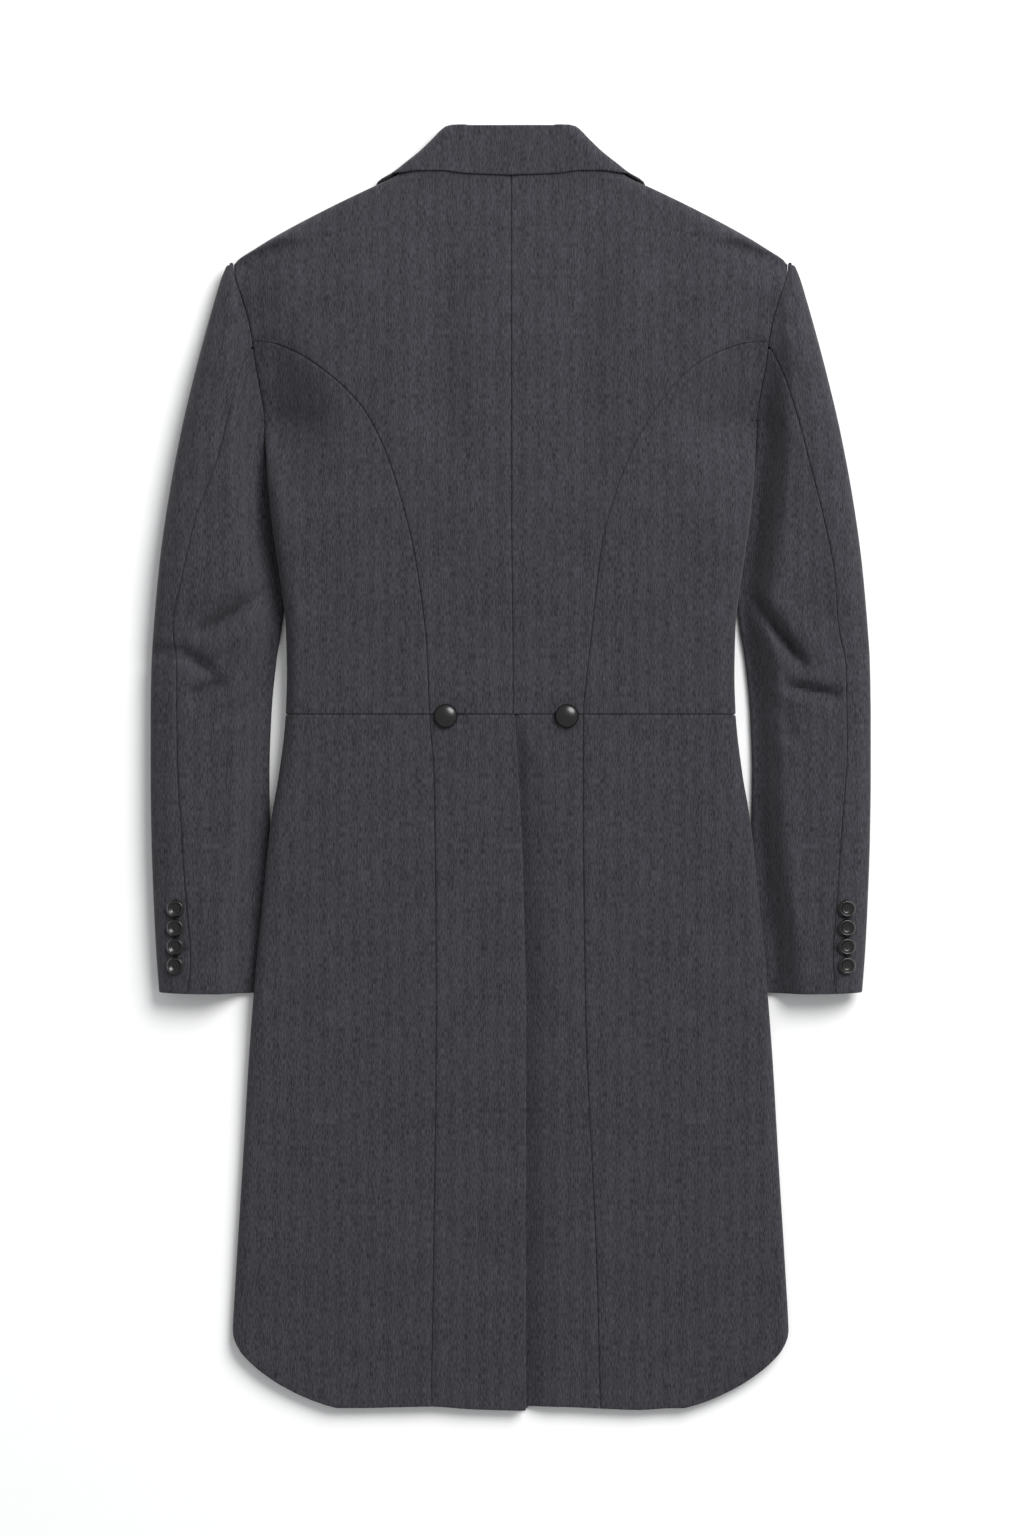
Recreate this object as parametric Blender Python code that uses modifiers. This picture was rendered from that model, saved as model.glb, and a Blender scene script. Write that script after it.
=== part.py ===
# A tailcoat of the morning cut, laid flat with its back up
#
# The coat lies on the plane z = 0 with its collar towards +Y, its back facing +Z and its left
# side towards -X. Lengths in the tables are millimetres. "Drop" is the distance down the coat
# from the top of the collar, "reach" is a distance sideways from the centre line.

import bisect
import math
from collections import namedtuple
from functools import partial

import bmesh
import bpy
from mathutils import Vector

# Driving dimensions, in millimetres
MM = 0.001
LENGTH = 1083.0          # collar top to hem
CLOTH = 1.8              # wall of the body, skirts and sleeves
SEAM_GAP = 0.3           # clearance between neighbouring pieces
LAY_GAP = 0.5            # clearance between a turned-back layer and the one it lies on
LAY = CLOTH + LAY_GAP    # rise of a layer that lies on another one
WAIST = 496.5            # drop of the waist seam
NECK_SEAM = 33.5         # drop of the seam between back and collar stand
SHOULDER_TIP = 117.0
ARMPIT = 248.4
SIDE_SEAM_TOP = 183.0    # where the side body's two seams leave the armhole
HINDARM_TOP = 189.5      # where the sleeve's two seams leave the armhole
CAP_MARGIN = 2.0         # the sleeve's cap is one piece down to this far above them
CUFF = 730.0
CUFF_CURVE = 1.6         # how far the middle of the cuff hangs below its corners
ARMPIT_HEIGHT = 5.6      # two flattened layers at the sleeve's inner fold
DIP_WIDTH = 46.0         # distance over which the back falls to its armhole
LIFT_SLOPE = 26.0        # distance over which a lifted layer comes back down

# Loop shares: the part of the loop coordinate that a side fold takes
BODY_FOLD = 0.25
FOLD_TIP = 1.0 + BODY_FOLD / 2.0
SLEEVE_FOLD = 0.40

# Half outline of the body and the shape of its side at each drop.
# reach: outline; fold: plan depth of the rounded side; edge: height of the upper layer at the
# side; lift: height of the lower layer at the side; lift_width: how far in that lift goes.
Side = namedtuple("Side", "drop reach fold edge lift lift_width")
SIDES = [
    Side(0.0, 43.0, 8.0, 40.0, 0.0, 10.0),
    Side(4.2, 53.2, 9.0, 40.0, 0.0, 10.0),
    Side(14.3, 63.6, 11.0, 40.0, 0.0, 10.0),
    Side(24.4, 74.1, 14.0, 40.0, 0.0, 10.0),
    Side(34.5, 86.7, 18.0, 40.0, 0.0, 10.0),
    Side(43.0, 97.8, 22.0, 40.0, 0.0, 10.0),
    Side(54.7, 122.6, 25.0, 40.0, 0.0, 10.0),
    Side(71.6, 157.0, 26.0, 40.0, 0.0, 10.0),
    Side(88.4, 188.6, 22.0, 32.0, 0.0, 10.0),
    Side(105.3, 217.2, 11.0, 19.0, 2.4, 10.0),
    Side(113.7, 230.3, 3.6, 13.2, 6.8, 10.0),
    Side(117.0, 233.2, 2.4, 12.2, 7.6, 10.0),
    Side(117.4, 233.2, 0.0, 12.2, 7.6, 10.0),
    Side(128.0, 231.8, 0.0, 18.0, 3.2, 10.0),
    Side(144.8, 226.4, 0.0, 22.5, 0.0, 8.0),
    Side(172.6, 218.7, 0.0, 22.5, 0.0, 8.0),
    Side(202.9, 214.5, 0.0, 17.0, 0.0, 6.0),
    Side(232.4, 209.4, 0.0, 9.0, 0.0, 6.0),
    Side(247.9, 207.6, 0.0, 5.6, 0.0, 6.0),
    Side(248.4, 207.6, 2.8, 5.6, 0.0, 6.0),
    Side(262.0, 207.1, 4.4, 8.6, 3.0, 8.0),
    Side(280.4, 206.0, 8.0, 17.0, 6.4, 10.0),
    Side(310.0, 203.6, 12.0, 28.0, 6.4, 12.0),
    Side(346.9, 199.3, 14.0, 33.0, 6.4, 14.0),
    Side(385.0, 193.5, 14.0, 40.0, 5.6, 14.0),
    Side(425.2, 189.2, 13.0, 40.0, 0.0, 14.0),
    Side(462.3, 188.4, 13.0, 40.0, 0.0, 14.0),
    Side(496.5, 189.5, 13.0, 40.0, 0.0, 14.0),
    Side(547.3, 195.3, 13.0, 40.0, 0.0, 14.0),
    Side(575.0, 200.1, 13.0, 40.0, 2.4, 14.0),
    Side(600.0, 203.5, 12.0, 40.0, 6.4, 14.0),
    Side(642.4, 207.7, 12.0, 40.0, 6.4, 16.0),
    Side(704.8, 214.0, 11.0, 40.0, 6.4, 20.0),
    Side(735.0, 216.7, 11.0, 40.0, 6.4, 22.0),
    Side(785.0, 220.6, 11.0, 40.0, 0.0, 22.0),
    Side(871.5, 225.7, 10.0, 40.0, 0.0, 16.0),
    Side(972.5, 232.0, 9.0, 40.0, 0.0, 16.0),
    Side(1020.0, 234.5, 8.0, 40.0, 0.0, 16.0),
    Side(1083.0, 235.5, 8.0, 40.0, 0.0, 16.0),
]

# Height of the upper layer over the floor
Loft = namedtuple("Loft", "drop height")
LOFTS = [
    Loft(0.0, 15.0), Loft(45.0, 17.5), Loft(70.0, 21.0), Loft(100.0, 26.0), Loft(140.0, 30.0),
    Loft(200.0, 32.0), Loft(300.0, 32.0), Loft(400.0, 29.0), Loft(496.5, 25.0),
    Loft(600.0, 21.5), Loft(700.0, 18.5), Loft(800.0, 16.0), Loft(900.0, 14.0),
    Loft(1000.0, 12.5), Loft(1083.0, 11.0),
]

# The curved seam between back and side body, then the tail seam below it
BackSeam = namedtuple("BackSeam", "drop left right")
BACK_SEAMS = [
    BackSeam(183.0, 212.0, 210.0), BackSeam(184.5, 200.0, 198.0),
    BackSeam(188.0, 190.7, 186.5), BackSeam(193.7, 178.2, 172.0),
    BackSeam(206.3, 158.9, 151.0), BackSeam(222.3, 139.5, 135.0),
    BackSeam(239.1, 124.4, 122.2), BackSeam(261.9, 111.3, 108.0),
    BackSeam(285.0, 101.7, 97.2), BackSeam(307.3, 94.5, 88.8), BackSeam(351.1, 83.1, 77.0),
    BackSeam(395.7, 75.5, 71.2), BackSeam(440.0, 70.7, 66.6), BackSeam(496.5, 68.3, 60.9),
    BackSeam(551.5, 64.6, 60.7), BackSeam(736.8, 62.9, 62.6), BackSeam(972.5, 65.4, 72.7),
    BackSeam(1083.0, 67.4, 75.2),
]

# The seam between side body and forepart, on the underside
FrontSeam = namedtuple("FrontSeam", "drop reach")
FRONT_SEAMS = [
    FrontSeam(183.0, 213.0), FrontSeam(190.0, 203.0), FrontSeam(205.0, 193.0),
    FrontSeam(225.0, 184.0), FrontSeam(248.4, 177.0), FrontSeam(300.0, 166.0),
    FrontSeam(400.0, 154.0), FrontSeam(496.5, 150.0),
]

# Centre-back seam above the waist and the free edge of the upper tail below it
Centre = namedtuple("Centre", "drop reach")
CENTRE_SEAM = [Centre(33.0, 0.3), Centre(316.0, 0.5), Centre(442.0, 1.7), Centre(496.5, 1.9)]
VENT_EDGE = [
    Centre(496.5, 3.4), Centre(550.0, 6.6), Centre(600.0, 9.3), Centre(655.0, 11.0),
    Centre(737.0, 12.9), Centre(1083.0, 12.9),
]
VENT_UNDERLAP = 16.0     # how far the lower tail runs past the centre line
VENT_FALL = 2.6          # extra sinking of the lower tail towards the vent
VENT_SLOPE = 26.0
VENT_LENGTH = 60.0       # length below the waist over which that sinking grows

# Front edges: the roll line of the lapel, then the overlap at the waist
RollLine = namedtuple("RollLine", "drop reach")
ROLL_LINE = [
    RollLine(0.0, 34.0), RollLine(15.0, 46.0), RollLine(45.0, 60.0), RollLine(100.0, 57.0),
    RollLine(200.0, 44.0), RollLine(300.0, 28.0), RollLine(400.0, 10.5),
    RollLine(440.0, 2.0), RollLine(465.0, -7.0), RollLine(496.5, -10.0),
]
LAPEL_FOOT = 426.0       # where the lapel runs out into the front edge
FACING_MARGIN = 2.5      # how far the lifted front runs past its lapel
FACING_EASE = 0.5        # further reach before the lifted front starts down
FOOT_LENGTH = 8.0        # length over which that lift ends below the lapel's foot
FOOT_START = 2.0
OVERLAP_REACH = 12.0     # how far the lifted right front stays lifted
OVERLAP_LENGTH = 12.0    # length over which the right front rises onto the left one

# Outer edge of the turned-back collar and lapel, on the underside
Facing = namedtuple("Facing", "drop reach")
COLLAR_EDGE = [Facing(40.0, 99.0), Facing(60.0, 104.0), Facing(80.0, 107.0), Facing(120.0, 109.0)]
LAPEL_EDGE = [
    Facing(104.0, 133.0), Facing(125.0, 131.0), Facing(150.0, 126.0), Facing(200.0, 112.0),
    Facing(250.0, 95.0), Facing(300.0, 75.5), Facing(350.0, 53.0), Facing(400.0, 25.0),
    Facing(426.0, 9.0),
]
LEAF_DROP = 43.0         # drop of the collar leaf's lower corners
COLLAR_DROPS = (0.4, 4.0, 10.0, 18.0, 27.0, 35.0, LEAF_DROP)
Leaf = namedtuple("Leaf", "reach low")
LEAF_EDGE = [
    Leaf(0.0, 42.8), Leaf(40.0, 41.2), Leaf(62.0, 38.9), Leaf(80.0, 38.9), Leaf(97.8, 43.0),
]
COLLAR_COLUMNS = ([2, 4], [4, 3])  # from the roll line to the fold, and on to the centre
COLLAR_FRONT_ROWS = 8
COLLAR_EASE = 1.6        # extra room where the collar turns round the neck sides
FOLD_CLEAR = 66.0        # drop from which the collar lies clear of the shoulder's fold
COLLAR_END = 101.0       # drop of the collar's outer front corner
COLLAR_END_REACH = 109.0
COLLAR_TURN = 18.0       # length over which the collar's front comes round the neck side
STAND_WALL = 1.6
STAND_TOP = 1.0          # drop of the stand's upper edge
STAND_GAP = 0.9          # clearance of the stand's lower edge, which leans at the neck sides
LAPEL_GRID = (4, 10)
GORGE_INNER = 122.0      # drop of the gorge seam at the roll line
GORGE_OUTER = 104.0      # drop of the gorge line at the lapel's point

# The free front edge of the skirt on the underside, and its rounded corner on top
SkirtEdge = namedtuple("SkirtEdge", "drop reach")
SKIRT_EDGES = [
    SkirtEdge(496.5, -10.0), SkirtEdge(520.0, -2.0), SkirtEdge(560.0, 24.0),
    SkirtEdge(650.0, 80.0), SkirtEdge(750.0, 131.0), SkirtEdge(850.0, 174.0),
    SkirtEdge(940.0, 207.0), SkirtEdge(1000.0, 226.0),
]
CORNER_TOP = 1019.7      # drop at which the corner leaves the side
CORNER_START = 1000.0    # drop at which the free edge starts round the side fold
CORNER_END = 1034.0      # drop at which it has come round to the top
CORNER_REACH = 134.5     # reach at which the corner joins the hem
CORNER_WIDTH = 100.0
CORNER_HEIGHT = 62.0
CORNER_POWER = 1.5       # 2 would be an ellipse, less cuts the corner straighter
HEM = 1080.0

# Waves of the hem line, in drop, at each distance across
HemWave = namedtuple("HemWave", "across fall")
HEM_WAVES = [
    HemWave(-240.0, 0.0), HemWave(-132.0, 0.6), HemWave(-68.0, -0.6), HemWave(-30.0, 1.8),
    HemWave(12.0, 2.8), HemWave(14.0, -0.6), HemWave(42.0, -0.4), HemWave(75.0, 1.0),
    HemWave(107.0, 2.2), HemWave(134.0, 0.8), HemWave(240.0, 0.0),
]
HEM_WAVE_START = 1010.0

# Sleeve: outline and height at each drop. inner is read only below the armpit.
# flat: width beside the inner fold that stays pressed flat under the body or skirt.
Sleeve = namedtuple("Sleeve", "drop inner outer height flat")
SLEEVES = [
    Sleeve(117.0, 207.9, 238.6, 15.0, 0.0),
    Sleeve(122.1, 207.9, 241.0, 17.5, 0.0),
    Sleeve(130.5, 207.9, 244.2, 21.0, 0.0),
    Sleeve(147.4, 207.9, 249.2, 26.0, 0.0),
    Sleeve(168.4, 207.9, 255.1, 29.5, 0.0),
    Sleeve(210.5, 207.9, 266.1, 32.0, 0.0),
    Sleeve(248.4, 207.9, 275.2, 32.0, 1.0),
    Sleeve(275.0, 206.7, 280.7, 32.0, 2.0),
    Sleeve(300.0, 201.4, 285.4, 32.0, 5.0),
    Sleeve(336.8, 197.0, 291.3, 32.0, 6.0),
    Sleeve(370.0, 192.0, 295.6, 32.0, 6.0),
    Sleeve(400.0, 190.6, 298.5, 31.0, 3.0),
    Sleeve(425.0, 193.2, 300.6, 30.0, 0.0),
    Sleeve(449.6, 197.3, 302.2, 29.0, 0.0),
    Sleeve(497.6, 201.8, 303.1, 28.0, 0.0),
    Sleeve(547.3, 203.4, 303.1, 28.0, 0.0),
    Sleeve(600.3, 202.8, 302.4, 28.0, 3.0),
    Sleeve(652.6, 201.6, 300.6, 27.5, 10.0),
    Sleeve(694.7, 200.7, 298.5, 27.0, 16.0),
    Sleeve(732.0, 200.0, 295.7, 26.0, 19.0),
]
SLEEVE_ROLL = 25.0       # plan depth of the sleeve's rounded outer side
SLEEVE_INNER_ROLL = 2.8  # the same for its pressed inner side
ARMHOLE_LEAN = 1.15      # a sideways gap at the leaning armhole for each square one
SLEEVE_RISE = 34.0       # distance over which it rises from the inner side
ROLL_SHARE = 0.70        # most of the sleeve's width that the rounded outer side takes
RISE_SHARE = 0.55        # most of it that the rise takes
CUFF_MIDDLE = 250.0      # reach of the cuff's lowest place
CUFF_HALF = 50.0
CUFF_LENGTH = 30.0       # length of sleeve that follows the cuff's curve

# Sleeve seams: hindarm seam on top, forearm seam on the underside
ArmSeam = namedtuple("ArmSeam", "drop hind_left hind_right fore")
ARM_SEAMS = [
    ArmSeam(186.0, 216.6, 216.6, 216.6), ArmSeam(201.0, 224.6, 224.6, 221.0),
    ArmSeam(219.0, 229.6, 231.8, 223.5), ArmSeam(248.4, 237.9, 241.0, 225.0),
    ArmSeam(283.0, 246.5, 250.0, 224.0), ArmSeam(328.0, 263.4, 261.6, 220.0),
    ArmSeam(379.0, 275.6, 271.5, 215.0), ArmSeam(423.0, 283.7, 275.0, 214.0),
    ArmSeam(456.0, 280.8, 281.3, 217.0), ArmSeam(520.0, 280.3, 282.5, 220.0),
    ArmSeam(596.0, 276.6, 277.5, 221.0), ArmSeam(657.0, 272.5, 273.5, 220.0),
    ArmSeam(701.0, 269.0, 270.5, 219.0), ArmSeam(732.0, 271.5, 273.0, 218.0),
]

# Largest folds: straight soft troughs, across and drop of each end
Trough = namedtuple("Trough", "across drop to_across to_drop width depth")
BODY_TROUGHS = [
    Trough(-60.0, 95.0, -56.0, 275.0, 20.0, 2.6),
    Trough(67.0, 90.0, 62.0, 290.0, 20.0, 3.0),
]
SLEEVE_TROUGHS = [
    Trough(-260.8, 426.9, -209.4, 395.7, 9.0, 4.0),
    Trough(-278.4, 442.0, -251.5, 460.6, 8.0, 3.4),
    Trough(-270.9, 481.6, -242.2, 468.2, 9.0, 3.4),
    Trough(193.9, 385.6, 244.4, 455.5, 9.0, 4.2),
    Trough(231.8, 472.4, 275.6, 480.8, 8.0, 3.6),
]

# Buttons
WAIST_BUTTON_REACH = {"left": 54.5, "right": 47.2}
WAIST_BUTTON_DROP = 497.6
WAIST_BUTTON_RADIUS = 10.0
WAIST_BUTTON_HEIGHT = 6.4
CUFF_BUTTON_REACH = {"left": 281.2, "right": 281.9}
CUFF_BUTTON_DROPS = (659.4, 675.5, 691.3, 707.1)
BUTTON_STEPS = 14
DOME_STEPS = 4
RIM_HEIGHT = 1.4
RIM_UNDERCUT = 1.2
DISHED_PROFILE = [
    (0.0, 1.6), (3.4, 1.6), (5.6, 2.9), (6.7, 3.2), (7.5, 1.9), (6.6, 0.0), (0.0, 0.0),
]

# Rows of the panels, in drop, where their shape changes
HALF_GAP = SEAM_GAP / 2.0
SIDE_BODY_TOP = SIDE_SEAM_TOP + 1.5
SHOULDER_ROWS = (43.0, 48.0, 54.7, 62.0, 80.0, 96.0, 108.0, 113.7)
ARMHOLE_ROWS = (SHOULDER_TIP + 0.4, 125.0, 140.0, 162.0, 184.5, 187.0, 192.0, 205.0, 225.0,
                ARMPIT - 0.5, ARMPIT, 262.0, 282.0, 306.0)
ELBOW_ROWS = (392.0, 412.0, 430.0, 448.0, 464.0, 482.0)
BODY_ROWS = ARMHOLE_ROWS + (LAPEL_FOOT + 2.0, LAPEL_FOOT + 12.0)
TAIL_ROWS = (520.0, 556.0)
SKIRT_ROWS = (520.0, 575.0, 600.0, 735.0, 785.0)
CORNER_ROWS = (1000.0, 1020.0, 1034.0, 1048.0, 1062.0, 1072.0)
STEP = 46.0
LONG_STEP = 62.0
ROW_LEAST = 0.4          # least distance of a row from a panel's end
ROW_SHARE = 0.35         # share of the step that a plain row keeps from the other rows

SIDE_SIGN = {"left": -1.0, "right": 1.0}
SLOPE_STEP = 0.4         # steps of drop and of turn for reading a surface's slope
TURN_STEP = 0.002
LARGEST_SHIFT = 0.02     # most that a seam's clearance moves its loop coordinate
SHARP_ANGLE = 40.0

COAT_GREY = (0.052, 0.051, 0.060, 1.0)
BUTTON_BLACK = (0.012, 0.012, 0.014, 1.0)
WOOL_ROUGHNESS = 0.92
BUTTON_ROUGHNESS = 0.28


# Reading the tables

def smooth(value):
    """Ease from 0 to 1, flat at both ends."""
    value = min(max(value, 0.0), 1.0)
    return value * value * (3.0 - 2.0 * value)


def read(table, column, at):
    """The column's value at a drop, on a curve through the table's rows."""
    keys = [row[0] for row in table]
    last = len(keys) - 1
    at = min(max(at, keys[0]), keys[last])
    low = min(max(bisect.bisect_right(keys, at) - 1, 0), last - 1)
    values = [getattr(table[min(max(low + step, 0), last)], column) for step in (-1, 0, 1, 2)]
    places = [keys[min(max(low + step, 0), last)] for step in (-1, 0, 1, 2)]
    span = places[2] - places[1]
    chord = (values[2] - values[1]) / span
    slopes = []
    for before, after in ((0, 2), (1, 3)):
        other = (0, 1) if before == 0 else (2, 3)
        width = places[other[1]] - places[other[0]]
        side = (values[other[1]] - values[other[0]]) / width if width else chord
        slopes.append(0.0 if side * chord <= 0.0 else 2.0 * side * chord / (side + chord))
    step = (at - places[1]) / span
    rise = smooth(step)
    bend = slopes[0] * step * (1.0 - step) ** 2 - slopes[1] * step ** 2 * (1.0 - step)
    return values[1] + (values[2] - values[1]) * rise + span * bend


def trough_depth(troughs, across, drop):
    """How far the soft troughs push the cloth down at one place."""
    depth = 0.0
    for fold in troughs:
        run = Vector((fold.to_across - fold.across, fold.to_drop - fold.drop))
        away = Vector((across - fold.across, drop - fold.drop))
        along = away.dot(run) / run.length_squared
        nearest = run * min(max(along, 0.0), 1.0)
        ends = smooth(1.5 - abs(2.0 * along - 1.0))
        depth += fold.depth * ends * math.exp(-((away - nearest).length / fold.width) ** 2)
    return depth


# The body's surface

def side_start(drop):
    """Reach at which the upper layer turns into its side fold."""
    return read(SIDES, "reach", drop) - max(read(SIDES, "fold", drop), 0.0)


def body_top(across, drop):
    """Height of the coat's upper layer."""
    loft = read(LOFTS, "height", drop)
    edge = min(read(SIDES, "edge", drop), loft)
    inward = side_start(drop) - abs(across)
    height = edge + (loft - edge) * smooth(inward / DIP_WIDTH)
    return height - trough_depth(BODY_TROUGHS, across, drop)


def facing_reach(drop):
    """Reach of whatever lies under the forepart at this drop."""
    edge = read(COLLAR_EDGE, "reach", drop)
    if drop > GORGE_OUTER - LIFT_SLOPE:
        outward = smooth((drop - GORGE_OUTER + LIFT_SLOPE) / LIFT_SLOPE)
        edge += (read(LAPEL_EDGE, "reach", drop) - edge) * outward
    return edge


def body_under(side, across, drop):
    """Height of the coat's lower layer."""
    reach = across * side
    inward = side_start(drop) - reach
    lift = read(SIDES, "lift", drop)
    width = read(SIDES, "lift_width", drop)
    height = lift * (1.0 - smooth((inward - width) / LIFT_SLOPE))
    foot = 1.0 - smooth((drop - LAPEL_FOOT - FOOT_START) / FOOT_LENGTH)
    past_facing = reach - facing_reach(drop) - FACING_MARGIN - FACING_EASE
    height = max(height, LAY * foot * (1.0 - smooth(past_facing / LIFT_SLOPE)))
    if side > 0:
        lapped = smooth((drop - LAPEL_FOOT + OVERLAP_LENGTH) / OVERLAP_LENGTH)
        height = max(height, LAY * lapped * (1.0 - smooth((reach - OVERLAP_REACH) / LIFT_SLOPE)))
    return height


def hem_fall(across, drop):
    """How far the wavy hem moves this place down the coat."""
    lower = smooth((drop - HEM_WAVE_START) / (HEM - HEM_WAVE_START))
    return read(HEM_WAVES, "fall", across) * lower


def body(side, turn, drop):
    """A point on the body: turn 0 is the centre back, 1 the side fold, 2.25 the centre front."""
    start = side_start(drop)
    if turn <= 1.0:
        across = side * turn * start
        height = body_top(across, drop)
    elif turn < 1.0 + BODY_FOLD:
        angle = math.pi * (0.5 - (turn - 1.0) / BODY_FOLD)
        upper = body_top(side * start, drop)
        lower = body_under(side, side * start, drop)
        across = side * (start + read(SIDES, "fold", drop) * math.cos(angle))
        height = (upper + lower) / 2.0 + (upper - lower) / 2.0 * math.sin(angle)
    else:
        across = side * (2.0 + BODY_FOLD - turn) * start
        height = body_under(side, across, drop)
    return Vector((across, LENGTH / 2.0 - drop - hem_fall(across, drop), height))


def fold_share(reach, drop):
    """Share of the half fold between its tip, 0, and the flat layer, 1, that a reach lies at."""
    start = side_start(drop)
    past = (reach - start) / (read(SIDES, "reach", drop) - start)
    return 2.0 * math.acos(min(past, 1.0)) / math.pi


def top_turn(reach, drop):
    """Loop coordinate of a reach on the upper layer or the upper half of the fold."""
    start = side_start(drop)
    if reach <= start:
        return reach / start
    return FOLD_TIP - BODY_FOLD / 2.0 * fold_share(reach, drop)


def under_turn(reach, drop):
    """Loop coordinate of a reach on the lower layer or the lower half of the fold."""
    start = side_start(drop)
    if reach <= start:
        return 2.0 + BODY_FOLD - reach / start
    return FOLD_TIP + BODY_FOLD / 2.0 * fold_share(reach, drop)


def tail(side, turn, drop):
    """The body's surface with the left tail laid over the sunken right one at the vent."""
    point = body(side, turn, drop)
    if side > 0:
        near = 1.0 - smooth((point.x - read(VENT_EDGE, "reach", drop) - 1.0) / VENT_SLOPE)
        point.z -= near * (LAY + VENT_FALL * smooth((drop - WAIST) / VENT_LENGTH))
    return point


# The sleeve's surface

def sleeve_roll(drop):
    """Plan depth of the rounded outer side."""
    width = read(SLEEVES, "outer", drop) - sleeve_start(drop)
    return min(SLEEVE_ROLL, ROLL_SHARE * width)


def sleeve_start(drop):
    """Reach at which the sleeve's flat layers begin, at the armhole or beside its inner fold."""
    if drop < ARMPIT:
        return side_start(drop) + SEAM_GAP * ARMHOLE_LEAN
    return read(SLEEVES, "inner", drop) + SLEEVE_INNER_ROLL


def sleeve_top(across, drop):
    """Height of the sleeve's upper layer."""
    inward = abs(across) - sleeve_start(drop)
    edge = read(SIDES, "edge", drop) if drop < ARMPIT else ARMPIT_HEIGHT
    width = read(SLEEVES, "outer", drop) - sleeve_start(drop)
    rise = min(SLEEVE_RISE, RISE_SHARE * width)
    risen = smooth((inward - read(SLEEVES, "flat", drop)) / rise)
    height = edge + (read(SLEEVES, "height", drop) - edge) * risen
    return height - trough_depth(SLEEVE_TROUGHS, across, drop) * risen


def sleeve_under(across, drop):
    """Height of the sleeve's lower layer."""
    inward = abs(across) - sleeve_start(drop)
    lift = read(SIDES, "lift", drop) if drop < ARMPIT else 0.0
    return lift * (1.0 - smooth(inward / LIFT_SLOPE))


def sleeve(side, turn, drop):
    """A point on the sleeve: turn 0 is its inner side on top, 1 the outer side, 2.8 back at 0."""
    start = sleeve_start(drop)
    roll = sleeve_roll(drop)
    end = read(SLEEVES, "outer", drop) - roll
    loop = 2.0 + 2.0 * SLEEVE_FOLD
    turn = turn % loop
    if turn <= 1.0:
        reach = start + turn * (end - start)
        height = sleeve_top(side * reach, drop)
    elif turn < 1.0 + SLEEVE_FOLD:
        angle = math.pi * (0.5 - (turn - 1.0) / SLEEVE_FOLD)
        upper = sleeve_top(side * end, drop)
        lower = sleeve_under(side * end, drop)
        reach = end + roll * math.cos(angle)
        height = (upper + lower) / 2.0 + (upper - lower) / 2.0 * math.sin(angle)
    elif turn <= 2.0 + SLEEVE_FOLD:
        reach = end - (turn - 1.0 - SLEEVE_FOLD) * (end - start)
        height = sleeve_under(side * reach, drop)
    else:
        angle = math.pi * ((turn - 2.0 - SLEEVE_FOLD) / SLEEVE_FOLD - 0.5)
        upper = sleeve_top(side * start, drop)
        lower = sleeve_under(side * start, drop)
        reach = start - SLEEVE_INNER_ROLL * math.cos(angle)
        height = (upper + lower) / 2.0 + (upper - lower) / 2.0 * math.sin(angle)
    middle = 1.0 - ((reach - CUFF_MIDDLE) / CUFF_HALF) ** 2
    fall = CUFF_CURVE * max(middle, 0.0) * smooth((drop - CUFF + CUFF_LENGTH) / CUFF_LENGTH)
    return Vector((side * reach, LENGTH / 2.0 - drop - fall, height))


def sleeve_turn(reach, drop):
    """Loop coordinate of a reach on top of the sleeve."""
    start = sleeve_start(drop)
    end = read(SLEEVES, "outer", drop) - sleeve_roll(drop)
    if reach <= end:
        return (reach - start) / (end - start)
    angle = math.acos(min((reach - end) / sleeve_roll(drop), 1.0))
    return 1.0 + SLEEVE_FOLD * (0.5 - angle / math.pi)


def hind_turn(side_name, drop):
    """Loop coordinate of the hindarm seam."""
    return sleeve_turn(read(ARM_SEAMS, "hind_" + side_name, drop), drop)


def fore_turn(drop):
    """Loop coordinate of the forearm seam."""
    start = sleeve_start(drop)
    end = read(SLEEVES, "outer", drop) - sleeve_roll(drop)
    return 2.0 + SLEEVE_FOLD - (read(ARM_SEAMS, "fore", drop) - start) / (end - start)


# Walls made from a surface

def slopes(surface, turn, drop):
    """The surface's two tangents, per unit of turn and per millimetre of drop."""
    by_turn = surface(turn + TURN_STEP, drop) - surface(turn - TURN_STEP, drop)
    by_drop = surface(turn, drop + SLOPE_STEP) - surface(turn, drop - SLOPE_STEP)
    return by_turn / (2.0 * TURN_STEP), by_drop / (2.0 * SLOPE_STEP)


def outward(surface, side, turn, drop):
    """The direction square out of the coat at a surface point."""
    by_turn, by_drop = slopes(surface, turn, drop)
    return by_turn.cross(by_drop).normalized() * -side


def moved_in(surface, side, turn, drop, depth):
    """A surface point moved into the coat by a depth, or out of it by a negative one."""
    return surface(turn, drop) - outward(surface, side, turn, drop) * depth


def inset(surface, seam, drop, amount):
    """The loop coordinate of a line that runs beside a seam at a distance."""
    by_turn, by_drop = slopes(surface, seam(drop), drop)
    lean = (seam(drop + SLOPE_STEP) - seam(drop - SLOPE_STEP)) / (2.0 * SLOPE_STEP)
    along = math.hypot(by_turn.length * lean, by_drop.length)
    shift = amount * along / (by_turn.length * by_drop.length)
    return seam(drop) + min(max(shift, -LARGEST_SHIFT), LARGEST_SHIFT)


def levels(top, bottom, step, extra=()):
    """The drops of a panel's rows: its two ends, the extra ones and multiples of the step."""
    chosen = [drop for drop in extra if top + ROW_LEAST < drop < bottom - ROW_LEAST]
    for number in range(math.ceil(top / step), int(bottom / step) + 1):
        drop = number * step
        if all(abs(drop - other) > ROW_SHARE * step for other in chosen + [top, bottom]):
            chosen.append(drop)
    return [top] + sorted(chosen) + [bottom]


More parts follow.
